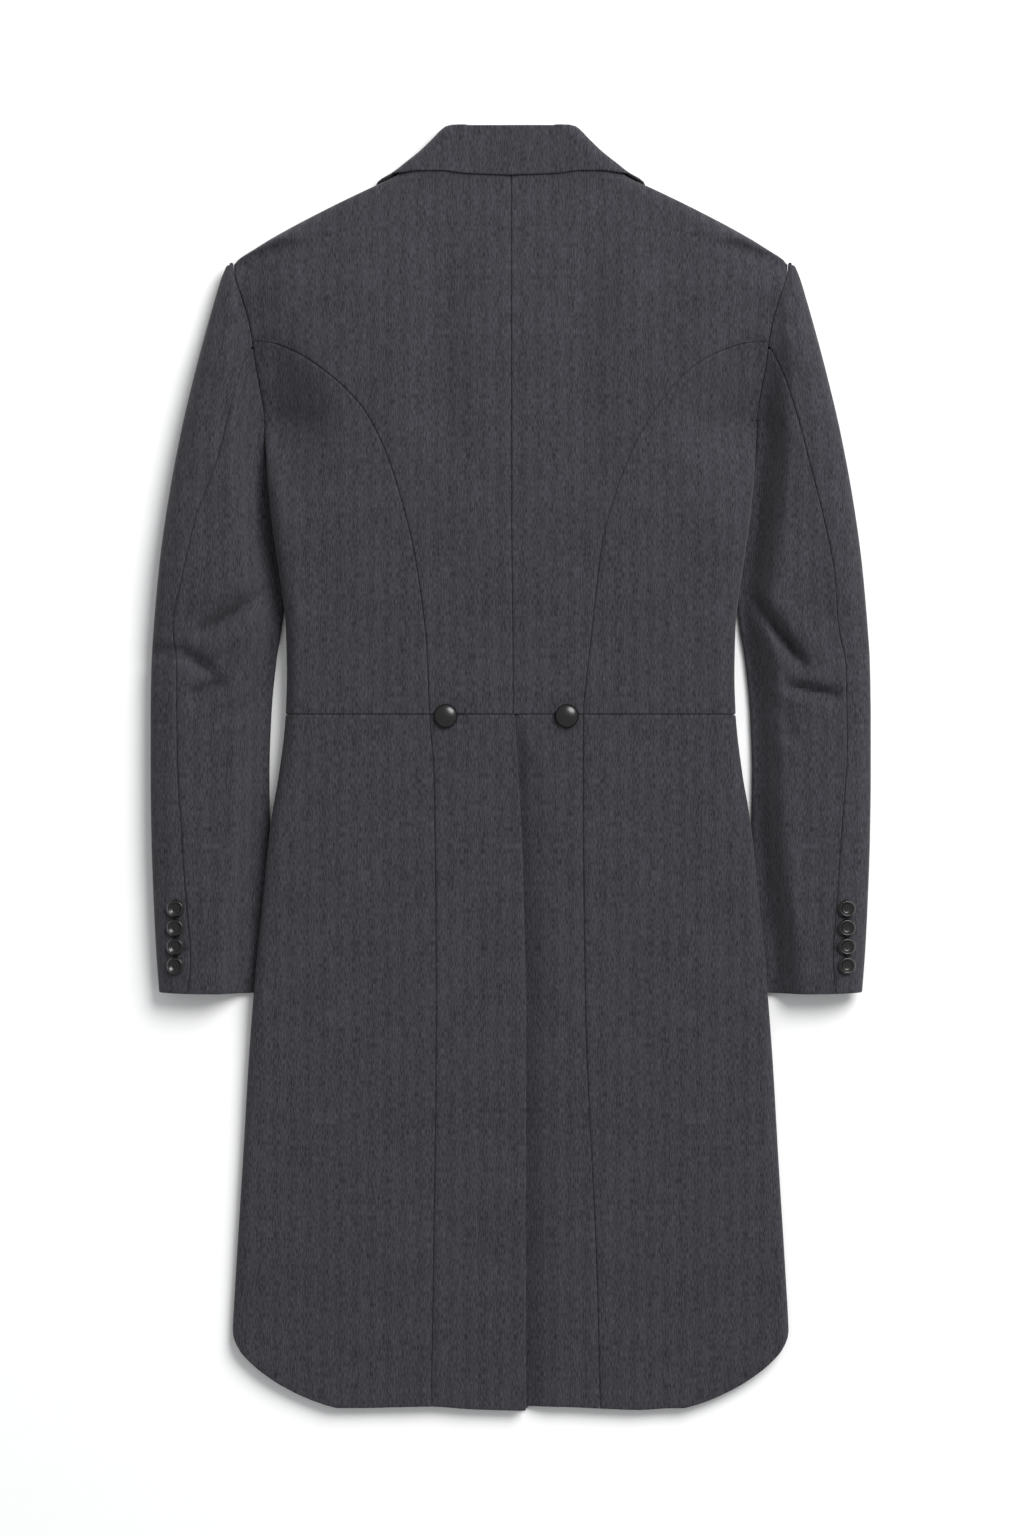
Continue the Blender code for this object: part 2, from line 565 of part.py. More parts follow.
def spread(stops, counts, column):
    """The value at a column when each stretch between two stops has its own column count."""
    for first, last, count in zip(stops, stops[1:], counts):
        if column <= count:
            return first + (last - first) * column / count
        column -= count
    return stops[-1]


def wall_mesh(name, columns, rows, place, keep=None):
    """A closed wall from a grid: place(column, row, layer) gives a point in millimetres."""
    shape = bmesh.new()
    bmesh.ops.create_grid(shape, x_segments=columns, y_segments=rows, size=0.5)
    if keep:
        spare = []
        for face in shape.faces:
            middle = face.calc_center_median()
            if not keep((middle.x + 0.5) * columns, (middle.y + 0.5) * rows):
                spare.append(face)
        bmesh.ops.delete(shape, geom=spare, context="FACES")
    grown = bmesh.ops.extrude_face_region(shape, geom=shape.faces[:])
    for element in grown["geom"]:
        if isinstance(element, bmesh.types.BMVert):
            element.co.z = 1.0
    for vertex in shape.verts:
        column = round((vertex.co.x + 0.5) * columns)
        row = round((vertex.co.y + 0.5) * rows)
        vertex.co = place(column, row, round(vertex.co.z)) * MM
    bmesh.ops.triangulate(shape, faces=shape.faces[:], quad_method="SHORT_EDGE")
    bmesh.ops.recalc_face_normals(shape, faces=shape.faces)
    if shape.calc_volume(signed=True) < 0.0:
        bmesh.ops.reverse_faces(shape, faces=shape.faces)
    mesh = bpy.data.meshes.new(name)
    shape.to_mesh(mesh)
    shape.free()
    return mesh


def panel(name, surface, side, stops, counts, rows, thick=CLOTH, open_until=None):
    """A cloth panel between the lines in stops, open at its side fold above one drop."""
    def place(column, row, layer):
        drop = rows[row]
        turn = spread([stop(drop) for stop in stops], counts, column)
        return moved_in(surface, side, turn, drop, thick * layer)

    def keep(column, row):
        in_fold = counts[0] < column < counts[0] + counts[1]
        return not (in_fold and rows[int(row)] < open_until)

    mesh = wall_mesh(name, sum(counts), len(rows) - 1, place, keep if open_until else None)
    return add_object(name, mesh, wool)


def add_object(name, mesh, material):
    """Link a mesh as a smooth-shaded object of the coat."""
    mesh.materials.append(material)
    mesh.shade_smooth()
    mesh.set_sharp_from_angle(angle=math.radians(SHARP_ANGLE))
    made = bpy.data.objects.new(name, mesh)
    coat.objects.link(made)
    return made


# The pieces

def fixed(turn):
    """A line at the same loop coordinate all the way down."""
    return lambda drop: turn


def on_top(table, column):
    """A line on the upper layer at the reach that a table gives."""
    return lambda drop: top_turn(read(table, column, drop), drop)


def on_underside(table, column):
    """A line on the lower layer at the reach that a table gives."""
    return lambda drop: under_turn(read(table, column, drop), drop)


def seam_beside(surface, seam, amount):
    """A line that keeps an amount away from a seam."""
    return lambda drop: inset(surface, seam, drop, amount)


def make_back(side_name):
    """Half of the back, from the centre seam out to shoulder, armhole and curved seam."""
    side = SIDE_SIGN[side_name]
    surface = partial(body, side)
    side_seam = on_top(BACK_SEAMS, side_name)

    def centre(drop):
        return top_turn(side * read(CENTRE_SEAM, "reach", drop), drop)

    def outer(drop):
        if drop < SHOULDER_TIP:
            return inset(surface, fixed(FOLD_TIP), drop, -HALF_GAP)
        if drop < SIDE_SEAM_TOP + ROW_LEAST:
            return 1.0
        return inset(surface, side_seam, drop, -HALF_GAP)

    rows = levels(NECK_SEAM + HALF_GAP, WAIST - HALF_GAP, STEP, SHOULDER_ROWS + BODY_ROWS)
    stops = [seam_beside(surface, centre, HALF_GAP), outer]
    return panel("back_" + side_name, surface, side, stops, [8], rows)


def make_side_body(side_name):
    """From the curved back seam round the side fold to the front seam."""
    side = SIDE_SIGN[side_name]
    surface = partial(body, side)
    stops = [
        seam_beside(surface, on_top(BACK_SEAMS, side_name), HALF_GAP),
        fixed(1.0),
        fixed(1.0 + BODY_FOLD),
        seam_beside(surface, on_underside(FRONT_SEAMS, "reach"), -HALF_GAP),
    ]
    rows = levels(SIDE_BODY_TOP, WAIST - HALF_GAP, STEP, BODY_ROWS)
    name = "side_body_" + side_name
    return panel(name, surface, side, stops, [4, 4, 2], rows, open_until=ARMPIT)


def make_forepart(side_name):
    """The front, on the underside from the shoulder and the side to its roll line."""
    side = SIDE_SIGN[side_name]
    surface = partial(body, side)
    front_seam = on_underside(FRONT_SEAMS, "reach")

    def outer(drop):
        if drop < SHOULDER_TIP:
            return inset(surface, fixed(FOLD_TIP), drop, HALF_GAP)
        if drop < SIDE_SEAM_TOP + ROW_LEAST:
            return 1.0 + BODY_FOLD
        return inset(surface, front_seam, drop, HALF_GAP)

    def facing_line(drop):
        if drop < FOLD_CLEAR:
            return 1.0 + BODY_FOLD
        covered = max(facing_reach(drop), OVERLAP_REACH) + FACING_MARGIN
        return max(under_turn(covered, drop), 1.0 + BODY_FOLD)

    rows = levels(NECK_SEAM + HALF_GAP, WAIST - HALF_GAP, STEP, SHOULDER_ROWS + BODY_ROWS)
    stops = [outer, facing_line, roll_turn]
    return panel("forepart_" + side_name, surface, side, stops, [4, 3], rows)


def make_tail(side_name):
    """The strip beside the vent: the left one lies over the right one."""
    side = SIDE_SIGN[side_name]
    surface = partial(tail, side)

    def free_edge(drop):
        if side_name == "left":
            return top_turn(-read(VENT_EDGE, "reach", drop), drop)
        return top_turn(-VENT_UNDERLAP, drop)

    rows = levels(WAIST + HALF_GAP, HEM, LONG_STEP, TAIL_ROWS + CORNER_ROWS)
    stops = [free_edge, seam_beside(surface, on_top(BACK_SEAMS, side_name), -HALF_GAP)]
    return panel("tail_" + side_name, surface, side, stops, [4], rows)


def skirt_edge(drop):
    """Loop coordinate of the skirt's free edge, which comes round the side fold near the hem."""
    if drop <= CORNER_START:
        return under_turn(read(SKIRT_EDGES, "reach", drop), drop)
    if drop < CORNER_END:
        share = (drop - CORNER_START) / (CORNER_END - CORNER_START)
        return skirt_edge(CORNER_START) * (1.0 - share) + skirt_edge(CORNER_END) * share
    down = min((drop - CORNER_TOP) / CORNER_HEIGHT, 1.0)
    reach = CORNER_REACH + CORNER_WIDTH * (1.0 - down ** CORNER_POWER) ** (1.0 / CORNER_POWER)
    return top_turn(reach, drop)


def make_skirt(side_name):
    """From the tail seam round the side fold to the cut-away front edge."""
    side = SIDE_SIGN[side_name]
    surface = partial(body, side)
    rows = levels(WAIST + HALF_GAP, HEM, LONG_STEP, SKIRT_ROWS + CORNER_ROWS)
    stops = [seam_beside(surface, on_top(BACK_SEAMS, side_name), HALF_GAP), skirt_edge]
    return panel("skirt_" + side_name, surface, side, stops, [13], rows)


def whole_body(turn, drop):
    """The body's surface from one centre front round the back to the other."""
    return body(1.0 if turn >= 0.0 else -1.0, abs(turn), drop)


def roll_turn(drop):
    """Loop coordinate of the line that the collar and lapels turn back along."""
    return under_turn(read(ROLL_LINE, "reach", drop), drop)


def make_collar():
    """The leaf: over the back neck, round both neck sides and down to the gorge."""
    front_counts, back_counts = COLLAR_COLUMNS
    front, half = sum(front_counts), sum(back_counts)
    columns = 2 * (front + half)
    back_rows = len(COLLAR_DROPS) - 1

    def front_stops(drop):
        low_edge = under_turn(read(COLLAR_EDGE, "reach", drop), drop)
        turned = smooth((drop - LEAF_DROP) / COLLAR_TURN)
        outer = FOLD_TIP + (low_edge - FOLD_TIP) * turned
        inner = roll_turn(drop)
        middle = 1.0 + BODY_FOLD
        return [inner, middle + ((inner + outer) / 2.0 - middle) * turned, outer]

    def place(column, row, layer):
        sign = -1.0 if column < columns / 2 else 1.0
        from_end = min(column, columns - column)
        drop = COLLAR_DROPS[min(row, back_rows)]
        if row > back_rows:
            end = GORGE_INNER - SEAM_GAP
            end += (COLLAR_END - end) * min(from_end / front, 1.0)
            drop += (end - drop) * (row - back_rows) / COLLAR_FRONT_ROWS
        if from_end <= front and (row > back_rows or from_end < front):
            turn = spread(front_stops(drop), front_counts, from_end)
        else:
            turn = spread([FOLD_TIP, 1.0, 0.0], back_counts, from_end - front)
        if from_end >= front and row <= back_rows:
            low = read(LEAF_EDGE, "low", abs(whole_body(turn, LEAF_DROP).x))
            shaped = max(drop - COLLAR_DROPS[-2], 0.0) / (LEAF_DROP - COLLAR_DROPS[-2])
            drop += (low - LEAF_DROP) * shaped
        round_fold = min(max((turn - 1.0) / BODY_FOLD, 0.0), 1.0)
        clear = LAY + COLLAR_EASE * math.sin(math.pi * round_fold)
        point = moved_in(whole_body, 1.0, sign * turn, drop, -clear + CLOTH * layer)
        point.z = max(point.z, 0.0)
        return point

    def keep(column, row):
        return row < back_rows or min(column, columns - column) < front

    mesh = wall_mesh("collar", columns, back_rows + COLLAR_FRONT_ROWS, place, keep)
    return add_object("collar", mesh, wool)


def make_collar_stand():
    """The strip that the leaf turns over, from the back neck seam to the collar's top."""
    rows = [STAND_TOP] + list(COLLAR_DROPS[1:-2]) + [NECK_SEAM - STAND_GAP]
    stops = [lambda drop: -roll_turn(drop)]
    stops += [fixed(-turn) for turn in (1.0 + BODY_FOLD, FOLD_TIP, 1.0)]
    stops += [fixed(turn) for turn in (1.0, FOLD_TIP, 1.0 + BODY_FOLD)]
    stops += [roll_turn]
    front_counts, (fold_count, back_count) = COLLAR_COLUMNS
    counts = front_counts + [fold_count, 2 * back_count, fold_count] + front_counts[::-1]
    return panel("collar_stand", whole_body, 1.0, stops, counts, rows, thick=STAND_WALL)


def make_lapel(side_name):
    """The turned-back front, under the forepart from its roll line to its outer edge."""
    side = SIDE_SIGN[side_name]
    surface = partial(body, side)
    columns, rows = LAPEL_GRID

    def place(column, row, layer):
        share = column / columns
        top = GORGE_INNER + (GORGE_OUTER - GORGE_INNER) * share
        drop = top + (LAPEL_FOOT - top) * row / rows
        inner = read(ROLL_LINE, "reach", drop)
        reach = inner + (read(LAPEL_EDGE, "reach", drop) - inner) * share
        return moved_in(surface, side, under_turn(reach, drop), drop, -LAY + CLOTH * layer)

    mesh = wall_mesh("lapel_" + side_name, columns, rows, place)
    return add_object("lapel_" + side_name, mesh, wool)


def turned_button(name, profile, surface, side, turn, drop):
    """A turned button seated on the cloth, square to it."""
    mesh = bpy.data.meshes.new(name)
    points = [(radius * MM, 0.0, height * MM) for radius, height in profile]
    edges = [(index, index + 1) for index in range(len(points) - 1)]
    mesh.from_pydata(points, edges, [])
    made = add_object(name, mesh, horn)
    turner = made.modifiers.new("turned", "SCREW")
    turner.steps = BUTTON_STEPS
    turner.render_steps = BUTTON_STEPS
    turner.use_merge_vertices = True
    turner.merge_threshold = 0.00001
    up = outward(surface, side, turn, drop)
    made.rotation_mode = "QUATERNION"
    made.rotation_quaternion = Vector((0.0, 0.0, 1.0)).rotation_difference(up)
    made.location = (surface(turn, drop) + up * SEAM_GAP) * MM
    return made


def make_buttons(side_name):
    """One domed button on the waist seam and four dished ones on the cuff."""
    side = SIDE_SIGN[side_name]
    dome = [(0.0, WAIST_BUTTON_HEIGHT)]
    for step in range(1, DOME_STEPS + 1):
        angle = math.pi / 2.0 * step / DOME_STEPS
        dome.append((WAIST_BUTTON_RADIUS * math.sin(angle),
                     RIM_HEIGHT + (WAIST_BUTTON_HEIGHT - RIM_HEIGHT) * math.cos(angle)))
    dome += [(WAIST_BUTTON_RADIUS - RIM_UNDERCUT, 0.0), (0.0, 0.0)]
    turn = top_turn(WAIST_BUTTON_REACH[side_name], WAIST_BUTTON_DROP)
    name = "waist_button_" + side_name
    turned_button(name, dome, partial(body, side), side, turn, WAIST_BUTTON_DROP)
    for number, drop in enumerate(CUFF_BUTTON_DROPS, 1):
        turn = sleeve_turn(CUFF_BUTTON_REACH[side_name], drop)
        name = "cuff_button_%s_%d" % (side_name, number)
        turned_button(name, DISHED_PROFILE, partial(sleeve, side), side, turn, drop)


def make_sleeve(side_name):
    """The top sleeve round the outer fold and the under sleeve round the inner one."""
    side = SIDE_SIGN[side_name]
    surface = partial(sleeve, side)
    hind = partial(hind_turn, side_name)
    lower_end = 2.0 + SLEEVE_FOLD
    loop = 2.0 + 2.0 * SLEEVE_FOLD
    cap_end = HINDARM_TOP - CAP_MARGIN

    def top_start(drop):
        return 0.0 if drop < cap_end else inset(surface, hind, drop, HALF_GAP)

    def top_end(drop):
        return lower_end if drop < cap_end else inset(surface, fore_turn, drop, -HALF_GAP)

    extras = ARMHOLE_ROWS + (HINDARM_TOP,) + ELBOW_ROWS
    rows = levels(SHOULDER_TIP + 0.4, CUFF, LONG_STEP, extras)
    stops = [top_start, fixed(1.0 + SLEEVE_FOLD / 2.0), fixed(1.0 + SLEEVE_FOLD), top_end]
    panel("top_sleeve_" + side_name, surface, side, stops, [7, 4, 3], rows)
    rows = levels(HINDARM_TOP, CUFF, LONG_STEP, extras)
    stops = [
        seam_beside(surface, fore_turn, HALF_GAP),
        fixed(lower_end),
        fixed(loop),
        lambda drop: loop + inset(surface, hind, drop, -HALF_GAP),
    ]
    panel("under_sleeve_" + side_name, surface, side, stops, [2, 3, 4], rows, open_until=ARMPIT)


def plain_material(name, colour, roughness):
    made = bpy.data.materials.new(name)
    made.use_nodes = True
    shader = made.node_tree.nodes["Principled BSDF"]
    shader.inputs["Base Color"].default_value = colour
    shader.inputs["Roughness"].default_value = roughness
    shader.inputs["Metallic"].default_value = 0.0
    return made


for old in list(bpy.data.objects):
    bpy.data.objects.remove(old)

coat = bpy.data.collections.new("tailcoat")
bpy.context.scene.collection.children.link(coat)
wool = plain_material("charcoal_wool", COAT_GREY, WOOL_ROUGHNESS)
horn = plain_material("black_button", BUTTON_BLACK, BUTTON_ROUGHNESS)

for side_name in ("left", "right"):
    make_back(side_name)
    make_side_body(side_name)
    make_forepart(side_name)
    make_tail(side_name)
    make_skirt(side_name)
    make_sleeve(side_name)
    make_lapel(side_name)
    make_buttons(side_name)
make_collar()
make_collar_stand()
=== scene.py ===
# %% [markdown]
# # A tailcoat of the morning cut, laid flat with its back up
#
# The coat lies on a pale table with its collar towards +Y and its back facing up. Its plain
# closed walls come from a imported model. This lesson dresses them: each cut piece of cloth gets
# a finer wall with seams, rolled edges and creases, a herringbone weave, and turned buttons.

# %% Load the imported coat
import math
from collections import namedtuple
from functools import partial

import bmesh
import bpy
import numpy as np
from mathutils import Matrix, Vector


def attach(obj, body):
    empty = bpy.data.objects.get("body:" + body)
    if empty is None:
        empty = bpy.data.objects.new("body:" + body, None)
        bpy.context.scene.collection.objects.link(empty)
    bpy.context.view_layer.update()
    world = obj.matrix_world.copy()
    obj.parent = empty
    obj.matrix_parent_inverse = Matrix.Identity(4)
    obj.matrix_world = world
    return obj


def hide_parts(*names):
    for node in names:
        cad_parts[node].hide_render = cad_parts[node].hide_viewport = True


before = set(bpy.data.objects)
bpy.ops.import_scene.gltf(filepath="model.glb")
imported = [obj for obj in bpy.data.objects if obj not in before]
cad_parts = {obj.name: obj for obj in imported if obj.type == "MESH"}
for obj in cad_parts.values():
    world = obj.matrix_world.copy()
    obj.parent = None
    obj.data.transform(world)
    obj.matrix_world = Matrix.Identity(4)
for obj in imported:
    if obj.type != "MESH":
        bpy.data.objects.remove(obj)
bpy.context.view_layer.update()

# %% [markdown]
# ## Reading a shape from short tables
#
# A flat garment is drawn by its maker as a few lines: a side, a seam, a front edge. Each line is
# a short table here, and a curve runs through its rows. A spline through the rows could swing
# past them, so this curve takes the harmonic mean of the two neighbouring slopes at each row,
# which never overshoots. All lengths in the tables are millimetres. "Drop" is the distance down
# the coat from the top of the collar and "reach" is a distance sideways from the centre line.

# %% A curve through the rows of a table
MM = 0.001
CURVES = {}


def smooth(value):
    """Ease from 0 to 1, flat at both ends."""
    value = np.clip(value, 0.0, 1.0)
    return value * value * (3.0 - 2.0 * value)


def curve(table, column):
    """The rows' places, their values and the slopes of the curve at them."""
    key = (id(table), column)
    if key not in CURVES:
        places = np.array([row[0] for row in table])
        values = np.array([getattr(row, column) for row in table])
        chords = np.diff(values) / np.diff(places)
        before = np.concatenate((chords[:1], chords))
        after = np.concatenate((chords, chords[-1:]))
        same = before * after > 0.0
        total = np.where(same, before + after, 1.0)
        CURVES[key] = places, values, np.where(same, 2.0 * before * after / total, 0.0)
    return CURVES[key]


def read(table, column, at):
    """The column's value at a drop, or at an array of drops."""
    places, values, slopes = curve(table, column)
    at = np.clip(at, places[0], places[-1])
    low = np.clip(np.searchsorted(places, at, side="right") - 1, 0, len(places) - 2)
    span = places[low + 1] - places[low]
    step = (at - places[low]) / span
    bend = slopes[low] * step * (1.0 - step) ** 2 - slopes[low + 1] * step ** 2 * (1.0 - step)
    return values[low] + (values[low + 1] - values[low]) * smooth(step) + span * bend


# %% [markdown]
# ## The sizes of the coat
#
# The back measures 1.05 m from the neck seam to the hem and the shoulders 0.47 m across. The
# cloth is a wall 1.8 mm thick, neighbouring pieces stay 0.3 mm apart, and a layer that lies on
# another one is lifted by its own thickness and a little air.

# %% Driving sizes
LENGTH = 1083.0
CLOTH = 1.8
SEAM_GAP = 0.3
HALF_GAP = 0.07          # the dressed pieces close most of the clearance at a seam
LAY = CLOTH + 0.5
WAIST = 496.5
NECK_SEAM = 33.5
SHOULDER_TIP = 117.0
ARMPIT = 248.4
SIDE_SEAM_TOP = 183.0
HINDARM_TOP = 189.5
CUFF = 730.0
HEM = 1080.0
DIP_WIDTH = 46.0         # distance over which the back falls to its armhole
UNDERARM = 26.0          # extra width of that fall beside the armpit
LIFT_SLOPE = 26.0        # distance over which a lifted layer comes back down
BODY_FOLD = 0.25         # share of the loop coordinate that a side fold takes
FOLD_TIP = 1.0 + BODY_FOLD / 2.0
SLEEVE_FOLD = 0.40
SIDE_SIGN = {"left": -1.0, "right": 1.0}

# %% [markdown]
# ## The outline and the side folds
#
# A coat that lies flat is a tube pressed nearly shut. At each drop the table gives how far out
# the side reaches, how deep in plan its rounded fold is, how high the upper layer stands at the
# side, and how far the sleeve beneath lifts the lower layer.

# %% Tables of the body
Side = namedtuple("Side", "drop reach fold edge lift lift_width")
SIDES = [
    Side(0.0, 43.0, 8.0, 40.0, 0.0, 10.0), Side(4.2, 53.2, 9.0, 40.0, 0.0, 10.0),
    Side(14.3, 63.6, 11.0, 40.0, 0.0, 10.0), Side(24.4, 74.1, 14.0, 40.0, 0.0, 10.0),
    Side(34.5, 86.7, 18.0, 40.0, 0.0, 10.0), Side(43.0, 97.8, 22.0, 40.0, 0.0, 10.0),
    Side(54.7, 122.6, 25.0, 40.0, 0.0, 10.0), Side(71.6, 157.0, 26.0, 40.0, 0.0, 10.0),
    Side(88.4, 188.6, 22.0, 32.0, 0.0, 10.0), Side(105.3, 217.2, 11.0, 19.0, 2.4, 10.0),
    Side(113.7, 230.3, 3.6, 13.2, 6.8, 10.0), Side(117.0, 233.2, 2.4, 12.2, 7.6, 10.0),
    Side(117.4, 233.2, 0.0, 12.2, 7.6, 10.0), Side(128.0, 231.8, 0.0, 18.0, 3.2, 10.0),
    Side(144.8, 226.4, 0.0, 22.5, 0.0, 8.0), Side(172.6, 218.7, 0.0, 22.5, 0.0, 8.0),
    Side(202.9, 214.5, 0.0, 17.0, 0.0, 6.0), Side(232.4, 209.4, 0.0, 9.0, 0.0, 6.0),
    Side(247.9, 207.6, 0.0, 5.6, 0.0, 6.0), Side(248.4, 207.6, 2.8, 5.6, 0.0, 6.0),
    Side(262.0, 207.1, 4.4, 8.6, 3.0, 8.0), Side(280.4, 206.0, 8.0, 17.0, 6.4, 10.0),
    Side(310.0, 203.6, 12.0, 28.0, 6.4, 12.0), Side(346.9, 199.3, 14.0, 33.0, 6.4, 14.0),
    Side(385.0, 193.5, 14.0, 40.0, 5.6, 14.0), Side(425.2, 189.2, 13.0, 40.0, 0.0, 14.0),
    Side(462.3, 188.4, 13.0, 40.0, 0.0, 14.0), Side(496.5, 189.5, 13.0, 40.0, 0.0, 14.0),
    Side(547.3, 195.3, 13.0, 40.0, 0.0, 14.0), Side(575.0, 200.1, 13.0, 40.0, 2.4, 14.0),
    Side(600.0, 203.5, 12.0, 40.0, 6.4, 14.0), Side(642.4, 207.7, 12.0, 40.0, 6.4, 16.0),
    Side(704.8, 214.0, 11.0, 40.0, 6.4, 20.0), Side(735.0, 216.7, 11.0, 40.0, 6.4, 22.0),
    Side(785.0, 220.6, 11.0, 40.0, 0.0, 22.0), Side(871.5, 225.7, 10.0, 40.0, 0.0, 16.0),
    Side(972.5, 232.0, 9.0, 40.0, 0.0, 16.0), Side(1020.0, 234.5, 8.0, 40.0, 0.0, 16.0),
    Side(1083.0, 235.5, 8.0, 40.0, 0.0, 16.0),
]
Loft = namedtuple("Loft", "drop height")
LOFTS = [
    Loft(0.0, 15.0), Loft(45.0, 17.5), Loft(70.0, 21.0), Loft(100.0, 26.0), Loft(140.0, 30.0),
    Loft(200.0, 32.0), Loft(300.0, 32.0), Loft(400.0, 29.0), Loft(496.5, 25.0),
    Loft(600.0, 21.5), Loft(700.0, 18.5), Loft(800.0, 16.0), Loft(900.0, 14.0),
    Loft(1000.0, 12.5), Loft(1083.0, 11.0),
]
BackSeam = namedtuple("BackSeam", "drop left right")
BACK_SEAMS = [
    BackSeam(183.0, 212.0, 210.0), BackSeam(184.5, 200.0, 198.0),
    BackSeam(188.0, 190.7, 186.5), BackSeam(193.7, 178.2, 172.0),
    BackSeam(206.3, 158.9, 151.0), BackSeam(222.3, 139.5, 135.0),
    BackSeam(239.1, 124.4, 122.2), BackSeam(261.9, 111.3, 108.0),
    BackSeam(285.0, 101.7, 97.2), BackSeam(307.3, 94.5, 88.8), BackSeam(351.1, 83.1, 77.0),
    BackSeam(395.7, 75.5, 71.2), BackSeam(440.0, 70.7, 66.6), BackSeam(496.5, 68.3, 60.9),
    BackSeam(551.5, 64.6, 60.7), BackSeam(736.8, 62.9, 62.6), BackSeam(972.5, 65.4, 72.7),
    BackSeam(1083.0, 67.4, 75.2),
]
Line = namedtuple("Line", "drop reach")
FRONT_SEAMS = [
    Line(183.0, 213.0), Line(190.0, 203.0), Line(205.0, 193.0), Line(225.0, 184.0),
    Line(248.4, 177.0), Line(300.0, 166.0), Line(400.0, 154.0), Line(496.5, 150.0),
]
CENTRE_SEAM = [Line(33.0, 0.3), Line(316.0, 0.5), Line(442.0, 1.7), Line(496.5, 1.9)]
VENT_EDGE = [
    Line(496.5, 3.4), Line(550.0, 6.6), Line(600.0, 9.3), Line(655.0, 11.0),
    Line(737.0, 12.9), Line(1083.0, 12.9),
]
VENT_UNDERLAP = 16.0     # how far the lower tail runs past the centre line
VENT_FALL = 2.6          # extra sinking of the lower tail towards the vent
VENT_SLOPE = 26.0
VENT_LENGTH = 60.0
HemWave = namedtuple("HemWave", "across fall")
HEM_WAVES = [
    HemWave(-240.0, 0.0), HemWave(-132.0, 0.6), HemWave(-68.0, -0.6), HemWave(-30.0, 1.8),
    HemWave(12.0, 2.8), HemWave(14.0, -0.6), HemWave(42.0, -0.4), HemWave(75.0, 1.0),
    HemWave(107.0, 2.2), HemWave(134.0, 0.8), HemWave(240.0, 0.0),
]
HEM_WAVE_START = 1010.0

# %% [markdown]
# ## The turned-back front
#
# Collar and lapels turn back along the roll line and lie under the coat, where they rest on the
# table. The forepart above them is lifted by one layer, out to a little past their outer edge.

# %% Tables of the front
ROLL_LINE = [
    Line(0.0, 34.0), Line(15.0, 46.0), Line(45.0, 60.0), Line(100.0, 57.0), Line(200.0, 44.0),
    Line(300.0, 28.0), Line(400.0, 10.5), Line(440.0, 2.0), Line(465.0, -7.0), Line(496.5, -10.0),
]
COLLAR_EDGE = [Line(40.0, 99.0), Line(60.0, 104.0), Line(80.0, 107.0), Line(120.0, 109.0)]
LAPEL_EDGE = [
    Line(104.0, 133.0), Line(125.0, 131.0), Line(150.0, 126.0), Line(200.0, 112.0),
    Line(250.0, 95.0), Line(300.0, 75.5), Line(350.0, 53.0), Line(400.0, 25.0), Line(426.0, 9.0),
]
SKIRT_EDGES = [
    Line(496.5, -10.0), Line(520.0, -2.0), Line(560.0, 24.0), Line(650.0, 80.0),
    Line(750.0, 131.0), Line(850.0, 174.0), Line(940.0, 207.0), Line(1000.0, 226.0),
]
LAPEL_FOOT = 426.0
FACING_EASE = 3.0        # how far past the lapel the lifted front starts to come down
OVERLAP_REACH = 12.0
OVERLAP_LENGTH = 12.0
GORGE_INNER = 122.0
GORGE_OUTER = 104.0
CORNER_TOP = 1019.7
CORNER_START = 1000.0
CORNER_END = 1034.0
CORNER_REACH = 134.5
CORNER_WIDTH = 100.0
CORNER_HEIGHT = 62.0
CORNER_POWER = 1.5

# %% [markdown]
# ## Creases
#
# Pressed wool keeps few creases: two soft vertical drapes below the shoulder blades, folds at
# each elbow where the arm bends, and shallow waves elsewhere. Each crease is a straight soft
# trough between two points, and a negative depth makes it a ridge.

# %% Tables of creases
Trough = namedtuple("Trough", "across drop to_across to_drop width depth")
BODY_CREASES = [
    Trough(-60.0, 95.0, -56.0, 275.0, 19.0, 3.6), Trough(67.0, 90.0, 62.0, 290.0, 18.0, 4.2),
    Trough(-57.0, 300.0, -52.0, 420.0, 17.0, 0.9), Trough(60.0, 300.0, 62.0, 420.0, 16.0, 0.8),
    Trough(-96.0, 120.0, -90.0, 330.0, 16.0, -0.7), Trough(100.0, 130.0, 104.0, 340.0, 16.0, -0.9),
    Trough(-22.0, 120.0, -26.0, 300.0, 13.0, -0.5), Trough(28.0, 130.0, 25.0, 330.0, 12.0, -0.5),
    Trough(-150.0, 330.0, -160.0, 470.0, 12.0, 0.7), Trough(148.0, 340.0, 158.0, 480.0, 12.0, 0.7),
    Trough(-182.0, 150.0, -196.0, 215.0, 8.0, 1.2), Trough(176.0, 148.0, 192.0, 212.0, 8.0, 1.2),
    Trough(-120.0, 560.0, -128.0, 860.0, 24.0, 0.8), Trough(112.0, 600.0, 120.0, 930.0, 24.0, 0.8),
    Trough(-30.0, 620.0, -28.0, 900.0, 15.0, 0.5), Trough(40.0, 700.0, 44.0, 960.0, 12.0, 0.5),
    Trough(-180.0, 620.0, -190.0, 900.0, 12.0, 0.6), Trough(176.0, 640.0, 188.0, 880.0, 12.0, 0.6),
    Trough(-140.0, 60.0, -176.0, 86.0, 9.0, 0.5), Trough(140.0, 62.0, 178.0, 90.0, 9.0, 0.5),
]
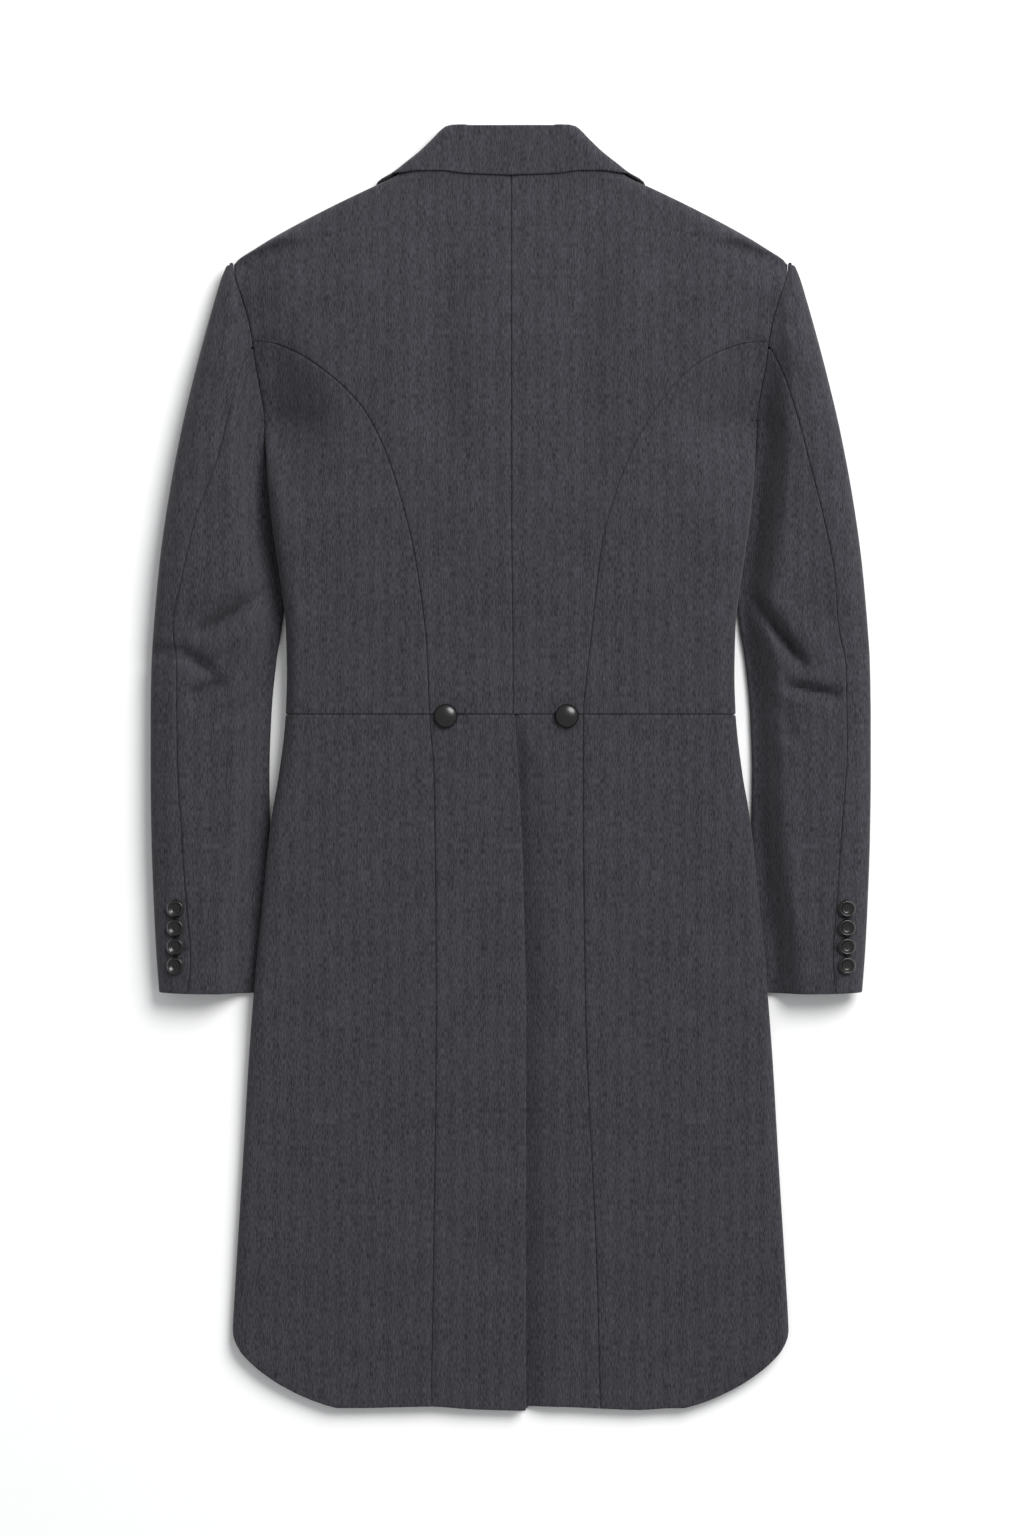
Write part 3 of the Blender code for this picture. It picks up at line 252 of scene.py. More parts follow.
SLEEVE_CREASES = [
    Trough(-262.0, 428.5, -203.0, 391.0, 5.4, 12.0), Trough(-278.4, 442.0, -251.5, 461.0, 5.4, 7.8),
    Trough(-270.9, 481.6, -242.2, 468.2, 6.0, 7.6), Trough(-236.0, 500.0, -208.0, 482.0, 9.0, 4.2),
    Trough(-262.0, 404.0, -222.0, 383.0, 9.0, -2.0), Trough(-256.0, 440.0, -222.0, 428.0, 9.0, -3.0),
    Trough(-240.0, 520.0, -252.0, 640.0, 12.0, 0.9), Trough(-262.0, 300.0, -252.0, 372.0, 9.0, 0.8),
    Trough(-232.0, 560.0, -240.0, 690.0, 9.0, -0.7), Trough(-244.0, 200.0, -238.0, 290.0, 8.0, 1.0),
    Trough(193.9, 385.6, 246.0, 456.5, 5.4, 12.4), Trough(231.8, 472.4, 275.6, 480.8, 5.4, 8.4),
    Trough(225.0, 484.0, 236.0, 520.0, 9.0, 4.2), Trough(218.0, 396.0, 262.0, 446.0, 9.0, -2.2),
    Trough(226.0, 452.0, 262.0, 466.0, 8.0, -1.3), Trough(268.0, 410.0, 282.0, 446.0, 8.0, 1.0),
    Trough(240.0, 540.0, 250.0, 660.0, 12.0, 0.9), Trough(262.0, 300.0, 254.0, 372.0, 9.0, 0.8),
    Trough(230.0, 570.0, 238.0, 690.0, 9.0, -0.7), Trough(246.0, 200.0, 239.0, 290.0, 8.0, 1.0),
]
Ripple = namedtuple("Ripple", "across drop phase height")
RIPPLES = [
    Ripple(0.105, 0.021, 0.4, 0.16), Ripple(-0.058, 0.047, 2.1, 0.15),
    Ripple(0.031, 0.083, 4.0, 0.12), Ripple(0.162, -0.034, 1.2, 0.08),
    Ripple(-0.121, -0.071, 5.3, 0.08),
]


def crease_depth(creases, across, drop):
    """How far the creases push the cloth down at each place."""
    depth = np.zeros(np.broadcast(across, drop).shape)
    for fold in creases:
        run = np.array((fold.to_across - fold.across, fold.to_drop - fold.drop))
        aside, down = across - fold.across, drop - fold.drop
        along = (aside * run[0] + down * run[1]) / (run @ run)
        nearest = np.clip(along, 0.0, 1.0)
        away = np.hypot(aside - nearest * run[0], down - nearest * run[1])
        ends = smooth(1.5 - abs(2.0 * along - 1.0))
        depth += fold.depth * ends * np.exp(-(away / fold.width) ** 2)
    return depth


def ripple_height(across, drop):
    """Shallow waves all over the cloth."""
    return sum(wave.height * np.sin(wave.across * across + wave.drop * drop + wave.phase)
               for wave in RIPPLES)


print(len(BODY_CREASES), "creases on the body and", len(SLEEVE_CREASES), "on the sleeves")

# %% [markdown]
# ## The surface of the body
#
# A place on the body has two coordinates. "Turn" runs round the pressed tube: 0 at the centre
# back, 1 where the side fold starts, 1.25 where it ends on the underside, and 2.25 at the centre
# front. "Drop" runs down. With numpy one call works out a whole grid of places.

# %% Heights of the two layers
def side_start(drop):
    """Reach at which the upper layer turns into its side fold."""
    return read(SIDES, "reach", drop) - np.maximum(read(SIDES, "fold", drop), 0.0)


def below_armpit(drop):
    """Share of the way from the open armhole to the closed side, without a step."""
    return smooth((drop - ARMPIT + 16.0) / 32.0)


def dip_start(drop):
    """Reach at which the upper layer starts to rise from the side."""
    at_armhole = (drop > SHOULDER_TIP) & (drop < 266.0)
    eased = read(SIDES, "fold", np.maximum(drop, 266.0)) * below_armpit(drop)
    return read(SIDES, "reach", drop) - np.where(at_armhole, eased, read(SIDES, "fold", drop))


def body_top(across, drop):
    """Height of the coat's upper layer."""
    loft = read(LOFTS, "height", drop)
    edge = np.minimum(read(SIDES, "edge", drop), loft)
    inward = dip_start(drop) - abs(across)
    hollow = np.exp(-((drop - 244.0) / 46.0) ** 2)
    height = edge + (loft - edge) * smooth(inward / (DIP_WIDTH + UNDERARM * hollow))
    calm = smooth(inward / 14.0 + 0.2)
    return height - crease_depth(BODY_CREASES, across, drop) + calm * ripple_height(across, drop)


def facing_reach(drop):
    """Reach of whatever lies under the forepart at this drop."""
    edge = read(COLLAR_EDGE, "reach", drop)
    outward = smooth((drop - GORGE_OUTER + LIFT_SLOPE) / LIFT_SLOPE)
    return edge + (read(LAPEL_EDGE, "reach", drop) - edge) * outward


def body_under(side, across, drop):
    """Height of the coat's lower layer."""
    reach = across * side
    inward = side_start(drop) - reach
    lift = read(SIDES, "lift", drop)
    height = lift * (1.0 - smooth((inward - read(SIDES, "lift_width", drop)) / LIFT_SLOPE))
    foot = 1.0 - smooth((drop - LAPEL_FOOT - 2.0) / 8.0)
    past_facing = reach - facing_reach(drop) - FACING_EASE
    height = np.maximum(height, LAY * foot * (1.0 - smooth(past_facing / LIFT_SLOPE)))
    lapped = smooth((drop - LAPEL_FOOT + OVERLAP_LENGTH) / OVERLAP_LENGTH) * (side > 0)
    overlap = LAY * lapped * (1.0 - smooth((reach - OVERLAP_REACH) / LIFT_SLOPE))
    return np.maximum(height, overlap)


# %% The body's surface
def hem_fall(across, drop):
    """How far the wavy hem moves this place down the coat."""
    lower = smooth((drop - HEM_WAVE_START) / (HEM - HEM_WAVE_START))
    return read(HEM_WAVES, "fall", across) * lower


def body(side, turn, drop):
    """Points on the body, in millimetres."""
    turn, drop, side = np.broadcast_arrays(turn, drop, side)
    start = side_start(drop)
    angle = np.pi * (0.5 - np.clip((turn - 1.0) / BODY_FOLD, 0.0, 1.0))
    fold_reach = start + np.maximum(read(SIDES, "fold", drop), 0.0) * np.cos(angle)
    on_top, below = turn <= 1.0, turn >= 1.0 + BODY_FOLD
    reach = np.where(on_top, turn * start, fold_reach)
    reach = np.where(below, (2.0 + BODY_FOLD - turn) * start, reach)
    upper = body_top(side * np.where(on_top, reach, start), drop)
    lower = body_under(side, side * np.where(below, reach, start), drop)
    height = (upper + lower) / 2.0 + (upper - lower) / 2.0 * np.sin(angle)
    across = side * reach
    return np.stack((across, LENGTH / 2.0 - drop - hem_fall(across, drop), height), axis=-1)


def tail_surface(side, turn, drop):
    """The body's surface with the right tail sunk under the left one at the vent."""
    point = body(side, turn, drop)
    slope = VENT_SLOPE * (0.12 + 0.88 * smooth((drop - WAIST) / VENT_LENGTH))
    near = 1.0 - smooth((point[..., 0] - read(VENT_EDGE, "reach", drop) - 1.0) / slope)
    opened = smooth((drop - WAIST) / VENT_LENGTH)
    close = 1.0 - smooth((point[..., 0] - read(VENT_EDGE, "reach", drop) + 1.0) / 11.0)
    fall = near * (LAY + VENT_FALL * opened) + close * 2.6 * opened
    point[..., 2] -= fall * (side > 0)
    beside = read(BACK_SEAMS, "right", drop) - point[..., 0]
    puckered = smooth((drop - 780.0) / 30.0) * smooth((965.0 - drop) / 30.0) * (side > 0)
    ridge = np.sin(drop * math.tau / 11.0 + 0.6 * np.sin(drop / 17.0))
    away = smooth((beside - 1.6) / 3.0) * np.exp(-((beside - 5.0) / 3.0) ** 2)
    point[..., 2] += 0.36 * puckered * ridge * away
    return point


def whole_body(turn, drop):
    """The body's surface from one centre front round the back to the other."""
    return body(np.where(turn >= 0.0, 1.0, -1.0), abs(turn), drop)


print("blade height", float(body(1.0, 0.5, 240.0)[2].round(1)), "mm")


# %% Lines on the body
def fold_share(reach, drop):
    """Share of the half fold between its tip, 0, and the flat layer, 1, at a reach."""
    start = side_start(drop)
    depth = np.maximum(read(SIDES, "reach", drop) - start, 0.001)
    return 2.0 * np.arccos(np.clip((reach - start) / depth, 0.0, 1.0)) / np.pi


def top_turn(reach, drop):
    """Turn of a reach on the upper layer or the upper half of the fold."""
    start = side_start(drop)
    on_fold = FOLD_TIP - BODY_FOLD / 2.0 * fold_share(reach, drop)
    return np.where(reach <= start, reach / start, on_fold)


def under_turn(reach, drop):
    """Turn of a reach on the lower layer or the lower half of the fold."""
    start = side_start(drop)
    on_fold = FOLD_TIP + BODY_FOLD / 2.0 * fold_share(reach, drop)
    return np.where(reach <= start, 2.0 + BODY_FOLD - reach / start, on_fold)


def fixed(turn):
    """A line at the same turn all the way down."""
    return lambda drop: turn + 0.0 * drop


def on_top(table, column):
    """A line on the upper layer at the reach that a table gives."""
    return lambda drop: top_turn(read(table, column, drop), drop)


def on_underside(table, column):
    """A line on the lower layer at the reach that a table gives."""
    return lambda drop: under_turn(read(table, column, drop), drop)


# %% [markdown]
# ## The surface of a sleeve
#
# A sleeve is the same kind of pressed tube. Its outer side is a wide round, its inner side a
# pressed crease that slips under the body and the skirt, and its height rises from that crease.
# The crease is so low that the gap beside the body falls into deep shade.

# %% Tables of the sleeve
Sleeve = namedtuple("Sleeve", "drop inner outer height flat")
SLEEVES = [
    Sleeve(117.0, 207.9, 238.6, 15.0, 0.0), Sleeve(122.1, 207.9, 241.0, 17.5, 0.0),
    Sleeve(130.5, 207.9, 244.2, 21.0, 0.0), Sleeve(147.4, 207.9, 249.2, 26.0, 0.0),
    Sleeve(168.4, 207.9, 255.1, 29.5, 0.0), Sleeve(210.5, 207.9, 266.1, 32.0, 0.0),
    Sleeve(248.4, 207.9, 275.2, 32.0, 1.0), Sleeve(275.0, 206.7, 280.7, 32.0, 2.0),
    Sleeve(300.0, 201.4, 285.4, 32.0, 5.0), Sleeve(336.8, 197.0, 291.3, 32.0, 6.0),
    Sleeve(370.0, 192.0, 295.6, 32.0, 6.0), Sleeve(400.0, 190.6, 298.5, 31.0, 3.0),
    Sleeve(425.0, 193.2, 300.6, 30.0, 0.0), Sleeve(449.6, 197.3, 302.2, 29.0, 0.0),
    Sleeve(497.6, 201.8, 303.1, 28.0, 0.0), Sleeve(547.3, 203.4, 303.1, 28.0, 0.0),
    Sleeve(600.3, 202.8, 302.4, 28.0, 3.0), Sleeve(652.6, 201.6, 300.6, 27.5, 10.0),
    Sleeve(694.7, 200.7, 298.5, 27.0, 16.0), Sleeve(732.0, 200.0, 295.7, 26.0, 19.0),
]
ArmSeam = namedtuple("ArmSeam", "drop hind_left hind_right fore")
ARM_SEAMS = [
    ArmSeam(186.0, 216.6, 216.6, 216.6), ArmSeam(201.0, 224.6, 224.6, 221.0),
    ArmSeam(219.0, 229.6, 231.8, 223.5), ArmSeam(248.4, 237.9, 241.0, 225.0),
    ArmSeam(283.0, 246.5, 250.0, 224.0), ArmSeam(328.0, 263.4, 261.6, 220.0),
    ArmSeam(379.0, 275.6, 271.5, 215.0), ArmSeam(423.0, 283.7, 275.0, 214.0),
    ArmSeam(456.0, 280.8, 281.3, 217.0), ArmSeam(520.0, 280.3, 282.5, 220.0),
    ArmSeam(596.0, 276.6, 277.5, 221.0), ArmSeam(657.0, 272.5, 273.5, 220.0),
    ArmSeam(701.0, 269.0, 270.5, 219.0), ArmSeam(732.0, 271.5, 273.0, 218.0),
]
SLEEVE_ROLL = 25.0       # plan depth of the rounded outer side
SLEEVE_INNER_ROLL = 2.8
SLEEVE_RISE = 26.0
ARMHOLE_LEAN = 1.15
ARMPIT_HEIGHT = 5.6
CUFF_CURVE = 1.6
CUFF_MIDDLE = 250.0
CUFF_HALF = 50.0
CUFF_LENGTH = 30.0
LOWER_END = 2.0 + SLEEVE_FOLD
SLEEVE_LOOP = 2.0 + 2.0 * SLEEVE_FOLD


# %% The sleeve's surface
def sleeve_start(drop):
    """Reach at which the sleeve's flat layers begin."""
    beside_body = side_start(drop) + SEAM_GAP * ARMHOLE_LEAN
    return np.where(drop < ARMPIT, beside_body, read(SLEEVES, "inner", drop) + SLEEVE_INNER_ROLL)


def sleeve_roll(drop):
    """Plan depth of the rounded outer side, less at the narrow top."""
    return np.minimum(SLEEVE_ROLL, 0.7 * (read(SLEEVES, "outer", drop) - sleeve_start(drop)))


def sleeve_top(across, drop):
    """Height of the sleeve's upper layer."""
    below = below_armpit(drop)
    start = (read(SIDES, "reach", drop) + SEAM_GAP * ARMHOLE_LEAN) * (1.0 - below)
    start = start + (read(SLEEVES, "inner", drop) + SLEEVE_INNER_ROLL) * below
    inward = abs(across) - start
    edge = np.where(drop < ARMPIT, read(SIDES, "edge", drop), ARMPIT_HEIGHT)
    rise = np.minimum(SLEEVE_RISE, 0.55 * (read(SLEEVES, "outer", drop) - start))
    risen = smooth((inward - read(SLEEVES, "flat", drop)) / rise)
    height = edge + (read(SLEEVES, "height", drop) - edge) * risen
    crease = crease_depth(SLEEVE_CREASES, across, drop) - ripple_height(across, drop)
    return height - crease * risen


def sleeve_under(across, drop):
    """Height of the sleeve's lower layer."""
    lift = np.where(drop < ARMPIT, read(SIDES, "lift", drop), 0.0)
    return lift * (1.0 - smooth((abs(across) - sleeve_start(drop)) / LIFT_SLOPE))


def sleeve(side, turn, drop):
    """Points on the sleeve: turn 0 is its inner side on top, 1 the outer side, 2.8 back at 0."""
    turn, drop, side = np.broadcast_arrays(turn, drop, side)
    turn = np.mod(turn, SLEEVE_LOOP)
    start, roll = sleeve_start(drop), sleeve_roll(drop)
    end = read(SLEEVES, "outer", drop) - roll
    on_top = turn <= 1.0
    outer = (turn > 1.0) & (turn < 1.0 + SLEEVE_FOLD)
    below = (turn >= 1.0 + SLEEVE_FOLD) & (turn <= LOWER_END)
    outer_angle = np.pi * (0.5 - (turn - 1.0) / SLEEVE_FOLD)
    inner_angle = np.pi * ((turn - LOWER_END) / SLEEVE_FOLD - 0.5)
    reach = start - SLEEVE_INNER_ROLL * np.cos(inner_angle)
    reach = np.where(below, end - (turn - 1.0 - SLEEVE_FOLD) * (end - start), reach)
    reach = np.where(outer, end + roll * np.cos(outer_angle), reach)
    reach = np.where(on_top, start + turn * (end - start), reach)
    rest = np.where(outer, end, start)
    upper = sleeve_top(side * np.where(on_top, reach, rest), drop)
    lower = sleeve_under(side * np.where(below, reach, rest), drop)
    level = np.where(on_top, 1.0, np.where(below, -1.0, np.sin(inner_angle)))
    level = np.where(outer, np.sin(outer_angle), level)
    height = (upper + lower) / 2.0 + (upper - lower) / 2.0 * level
    middle = np.maximum(1.0 - ((reach - CUFF_MIDDLE) / CUFF_HALF) ** 2, 0.0)
    fall = CUFF_CURVE * middle * smooth((drop - CUFF + CUFF_LENGTH) / CUFF_LENGTH)
    return np.stack((side * reach, LENGTH / 2.0 - drop - fall, height), axis=-1)


def sleeve_turn(reach, drop):
    """Turn of a reach on top of the sleeve."""
    start, roll = sleeve_start(drop), sleeve_roll(drop)
    end = read(SLEEVES, "outer", drop) - roll
    angle = np.arccos(np.clip((reach - end) / roll, 0.0, 1.0))
    rounded = 1.0 + SLEEVE_FOLD * (0.5 - angle / np.pi)
    return np.where(reach <= end, (reach - start) / (end - start), rounded)


def hind_turn(side_name, drop):
    """Turn of the hindarm seam."""
    return sleeve_turn(read(ARM_SEAMS, "hind_" + side_name, drop), drop)


def fore_turn(drop):
    """Turn of the forearm seam."""
    start = sleeve_start(drop)
    end = read(SLEEVES, "outer", drop) - sleeve_roll(drop)
    return LOWER_END - (read(ARM_SEAMS, "fore", drop) - start) / (end - start)


print("cuff is", round(float(read(SLEEVES, "outer", CUFF) - read(SLEEVES, "inner", CUFF))), "mm wide")

# %% [markdown]
# ## Rows and columns of a cut piece
#
# A cut piece is a grid between lines. Most of it needs a cell every 3 mm, but a seam is a sharp
# small groove and a folded edge a tight round, so four more lines run close beside each edge.
# Where a seam is sewn the two pieces sink towards each other. At a free edge both faces draw in.

# %% Lines close beside an edge
CELL = 3.2
EDGE_STEPS = (0.0, 0.4, 0.9, 1.7, 3.0)
EDGE_SHARES = (0.0, 0.04, 0.09, 0.16, 0.26)
SEAM_SINK = (1.45, 0.70, 0.24, 0.06, 0.0)
EDGE_ROUND = (0.72, 0.28, 0.08, 0.0, 0.0)
SINKS = {"seam": SEAM_SINK, "free": EDGE_ROUND, "plain": (0.0,) * 5}
TURN_STEP = 0.002
SLOPE_STEP = 0.4
LARGEST_SHIFT = 0.02
MOST_LEAN = 2.2          # keeps a groove narrow where its seam runs nearly level


def slopes(surface, turn, drop):
    """The surface's two tangents, per unit of turn and per millimetre of drop."""
    by_turn = surface(turn + TURN_STEP, drop) - surface(turn - TURN_STEP, drop)
    by_drop = surface(turn, drop + SLOPE_STEP) - surface(turn, drop - SLOPE_STEP)
    return by_turn / (2.0 * TURN_STEP), by_drop / (2.0 * SLOPE_STEP)


def turn_per_mm(surface, line, drops):
    """How much turn one millimetre square to a line takes, along the line."""
    by_turn, by_drop = slopes(surface, line(drops), drops)
    across, down = np.linalg.norm(by_turn, axis=-1), np.linalg.norm(by_drop, axis=-1)
    lean = (line(drops + SLOPE_STEP) - line(drops - SLOPE_STEP)) / (2.0 * SLOPE_STEP)
    return np.hypot(across * lean, down) / (across * down), 1.0 / across


def seam_beside(surface, line, amount):
    """A line that keeps an amount away from a seam."""
    def beside(drops):
        shift = amount * turn_per_mm(surface, line, drops)[0]
        return line(drops) + np.clip(shift, -LARGEST_SHIFT, LARGEST_SHIFT)
    return beside


def lay_rows(top, bottom, top_kind, bottom_kind, extra=(), cell=CELL):
    """The drops of a piece's rows and how far each one sinks at the two ends."""
    top_steps = EDGE_STEPS[:1] if top_kind == "plain" else EDGE_STEPS
    fine = [top + step for step in top_steps] + [bottom - step for step in EDGE_STEPS]
    low, high = top + top_steps[-1], bottom - EDGE_STEPS[-1]
    inner = [drop for drop in extra if low + 0.3 < drop < high - 0.3]
    for drop in np.linspace(low, high, max(round((high - low) / cell), 1) + 1)[1:-1]:
        if all(abs(drop - other) > 0.4 * cell for other in inner):
            inner.append(drop)
    drops = np.array(sorted(set(fine + inner)))
    from_top = np.interp(drops - top, EDGE_STEPS, SINKS[top_kind], right=0.0)
    from_bottom = np.interp(bottom - drops, EDGE_STEPS, SINKS[bottom_kind], right=0.0)
    return drops, from_top, from_bottom


# %% Columns between the lines of a piece
Stop = namedtuple("Stop", "line kind before after fades_at")


def stop(line, kind="plain", before=False, after=False, fades_at=None):
    """A line of a piece, with fine columns before or after it."""
    return Stop(line, kind, before, after, fades_at)


def lay_columns(surface, stops, counts, drops):
    """Turns and sinks of all columns, each an array over the rows, and the stops' columns."""
    turns, sinks, places = [], [], [0]
    for first, last, count in zip(stops, stops[1:], counts):
        start, end = first.line(drops), last.line(drops)
        room = end - start
        near, far = [(start, first, 0)], [(end, last, 0)]
        for edge, used, found in ((first, first.after, near), (last, last.before, far)):
            if not used:
                continue
            square, straight = turn_per_mm(surface, edge.line, drops)
            per_mm = np.minimum(square, MOST_LEAN * straight)
            for index in range(1, len(EDGE_STEPS)):
                shift = np.minimum(EDGE_STEPS[index] * per_mm, EDGE_SHARES[index] * abs(room))
                line = start + shift if edge is first else end - shift
                found.append((line, edge, index))
        inner = [(near[-1][0] + (far[-1][0] - near[-1][0]) * step / count, None, 0)
                 for step in range(1, count)]
        columns = near + inner + far[::-1]
        for line, edge, index in columns[1 if turns else 0:]:
            depth = np.zeros_like(drops)
            if edge is not None:
                depth += SINKS[edge.kind][index]
                if edge.fades_at is not None:
                    depth *= smooth((edge.fades_at - drops) / 6.0)
            turns.append(line)
            sinks.append((depth, depth if edge is not None and edge.kind == "free" else depth * 0))
        places.append(len(turns) - 1)
    outer = np.array([pair[0] for pair in sinks])
    inner = np.array([pair[1] for pair in sinks])
    return np.array(turns), outer, inner, places


# %% [markdown]
# ## A wall of cloth
#
# The wall starts as a flat grid. Extruding the grid's faces gives the second side and the rim,
# so the wall is closed from the start. Then each vertex moves to its place. A UV map follows the
# cloth in metres, across and along its grain, so that the weave bends with each piece.

# %% Make a wall from two grids of points
COAT_PIECES = {}


def cloth_wall(name, outer, inner, grain, keep=None):
    """A closed wall between two grids of points, with its weave's map from grain."""
    columns, rows = outer.shape[0] - 1, outer.shape[1] - 1
    shape = bmesh.new()
    bmesh.ops.create_grid(shape, x_segments=columns, y_segments=rows, size=0.5)
    if keep is not None:
        spare = [face for face in shape.faces
                 if not keep[int((face.calc_center_median().x + 0.5) * columns),
                             int((face.calc_center_median().y + 0.5) * rows)]]
        bmesh.ops.delete(shape, geom=spare, context="FACES")
    grown = bmesh.ops.extrude_face_region(shape, geom=shape.faces[:])
    for element in grown["geom"]:
        if isinstance(element, bmesh.types.BMVert):
            element.co.z = 1.0
    mesh = bpy.data.meshes.new(name)
    bmesh.ops.recalc_face_normals(shape, faces=shape.faces)
    shape.to_mesh(mesh)
    shape.free()
    flat = np.empty(len(mesh.vertices) * 3, np.float32)
    mesh.vertices.foreach_get("co", flat)
    flat = flat.reshape(-1, 3)
    column = np.rint((flat[:, 0] + 0.5) * columns).astype(int)
    row = np.rint((flat[:, 1] + 0.5) * rows).astype(int)
    places = np.where(flat[:, 2:] < 0.5, outer[column, row], inner[column, row]) * MM
    mesh.vertices.foreach_set("co", places.astype(np.float32).ravel())
    map_places = (grain[column, row] * MM).astype(np.float32)
    corners = np.empty(len(mesh.loops), np.int32)
    mesh.loops.foreach_get("vertex_index", corners)
    weave = mesh.uv_layers.new(name="weave")
    weave.data.foreach_set("uv", map_places[corners].ravel())
    mesh.update()
    return finish_wall(name, mesh)


def finish_wall(name, mesh):
    """Turn the faces outwards, shade the wall smoothly and link it."""
    check = bmesh.new()
    check.from_mesh(mesh)
    if check.calc_volume(signed=True) < 0.0:
        bmesh.ops.reverse_faces(check, faces=check.faces)
        check.to_mesh(mesh)
    check.free()
    mesh.shade_smooth()
    mesh.set_sharp_from_angle(angle=math.radians(52.0))
    piece = bpy.data.objects.new(name, mesh)
    bpy.context.scene.collection.objects.link(piece)
    return piece


def grain_map(points, anchor, anchor_across, drops):
    """Distance across the grain from an anchor column, and distance down, for each point."""
    steps = np.linalg.norm(np.diff(points, axis=0), axis=-1)
    walked = np.concatenate((np.zeros_like(steps[:1]), np.cumsum(steps, axis=0)))
    across = anchor_across + walked - walked[anchor]
    return np.stack((across, -drops + 0.0 * across), axis=-1)


# %% Register a piece of cloth
def dress(piece, node, points, keep=None):
    """Let the piece stand for its node and state the size it was cut to."""
    across = np.linalg.norm(np.diff(points, axis=0), axis=-1)
    one, other = points[1:, 1:] - points[:-1, :-1], points[:-1, 1:] - points[1:, :-1]
    cells = np.linalg.norm(np.cross(one, other), axis=-1) / 2.0
    if keep is not None:
        cells = cells * keep
        across = across * np.concatenate((keep[:, :1], keep), axis=1)
    width, length = across.sum(axis=0).max() * MM, np.ptp(points[..., 1]) * MM
    area = cells.sum() * MM * MM
    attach(piece, "root")
    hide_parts(node)
    COAT_PIECES[node] = piece
    print("%-20s cut %3.0f x %4.0f mm, %5.0f cm2, %6d faces" % (
        node, width * 1000, length * 1000, area * 1e4, len(piece.data.polygons)))


def cut_piece(name, surface, side, stops, counts, rows, anchor=0, thick=CLOTH, open_until=None,
              anchor_across=None):
    """A panel between lines: its two faces, its grain and its declaration."""
    drops, from_top, from_bottom = rows[:3]
    turns, sink, draw, places = lay_columns(surface, stops, counts, drops)
    drop_grid = np.broadcast_to(drops, turns.shape)
    middle = surface(turns, drop_grid)
    by_turn, by_drop = slopes(surface, turns, drop_grid)
    outward = np.cross(by_turn, by_drop) * -side
    outward /= np.linalg.norm(outward, axis=-1)[..., None]
    sink = np.maximum(np.maximum(sink, from_top), from_bottom)
    free_rows = (rows[3] == "free") * from_top + (rows[4] == "free") * from_bottom
    draw = np.maximum(draw, free_rows)
    outer = middle - outward * sink[..., None]
    inner = middle - outward * (thick - draw)[..., None]
    keep = None
    if open_until is not None:
        keep = np.ones((turns.shape[0] - 1, turns.shape[1] - 1), bool)
        keep[places[1]:places[2], drops[:-1] < open_until - 0.01] = False
    if anchor_across is None:
        anchor_across = abs(middle[anchor, :, 0])
    grain = grain_map(middle, anchor, anchor_across, drops)
    piece = cloth_wall(name, outer, inner, grain, keep)
    dress(piece, name.replace("_cloth", ""), middle, keep)
    return piece


# %% [markdown]
# ## Back and side bodies
#
# The back is two pieces joined at the centre. A curved seam runs from each armhole to the waist,
# and beyond it the side body goes round the side fold to the underside. A jacket would have a
# side seam at the fold. A coat of this family hides its shaping in that curved seam instead.

# %% The back
SHOULDER_ROWS = (43.0, 48.0, 54.7, 62.0, 80.0, 96.0, 108.0, 113.7)
SEAM_START = SIDE_SEAM_TOP + 0.3
SEAM_TOP_ROWS = (SIDE_SEAM_TOP, SEAM_START, 183.7, 184.2, 184.9, 185.8, 187.0, 188.5, 190.2, 192.2,
                 194.6, 197.4, 200.6)
ARMHOLE_ROWS = (SHOULDER_TIP + 0.4, 125.0, 140.0, 162.0) + SEAM_TOP_ROWS + (
    225.0, ARMPIT - 0.5, ARMPIT, 262.0, 282.0, 306.0)


def make_back(side_name):
    """Half of the back, from the centre seam out to shoulder, armhole and curved seam."""
    side = SIDE_SIGN[side_name]
    surface = partial(body, side)
    below_armhole = seam_beside(surface, on_top(BACK_SEAMS, side_name), -HALF_GAP)
    shoulder = seam_beside(surface, fixed(FOLD_TIP), -HALF_GAP)

    def centre(drops):
        return top_turn(side * read(CENTRE_SEAM, "reach", drops), drops)

    def outer(drops):
        line = np.where(drops < SHOULDER_TIP, shoulder(drops), 1.0)
        return np.where(drops > SIDE_SEAM_TOP + 0.1, below_armhole(drops), line)

    stops = [stop(seam_beside(surface, centre, HALF_GAP), "seam", after=True),
             stop(outer, "seam", before=True)]
    rows = lay_rows(NECK_SEAM + HALF_GAP, WAIST - HALF_GAP, "plain", "seam",
                    SHOULDER_ROWS + ARMHOLE_ROWS) + ("plain", "seam")
    cut_piece("back_%s_cloth" % side_name, surface, side, stops, [62], rows)


for side_name in SIDE_SIGN:
    make_back(side_name)


# %% The side bodies
def make_side_body(side_name):
    """From the curved back seam round the side fold to the front seam."""
    side = SIDE_SIGN[side_name]
    surface = partial(body, side)
    stops = [
        stop(seam_beside(surface, on_top(BACK_SEAMS, side_name), HALF_GAP), "seam", after=True),
        stop(fixed(1.0), "seam", before=True, fades_at=ARMPIT),
        stop(fixed(1.0 + BODY_FOLD)),
        stop(seam_beside(surface, on_underside(FRONT_SEAMS, "reach"), -HALF_GAP), "seam", before=True),
    ]
    rows = lay_rows(SEAM_START, WAIST - HALF_GAP, "plain", "seam", ARMHOLE_ROWS) + ("plain", "seam")
    cut_piece("side_body_%s_cloth" % side_name, surface, side, stops, [34, 14, 10], rows,
              open_until=ARMPIT)


for side_name in SIDE_SIGN:
    make_side_body(side_name)

# %% [markdown]
# ## The fronts
#
# The fronts lie under the back, face down on the table. They run from the shoulder and the side
# to the roll line of the lapel, and the left one laps over the right one at the waist.


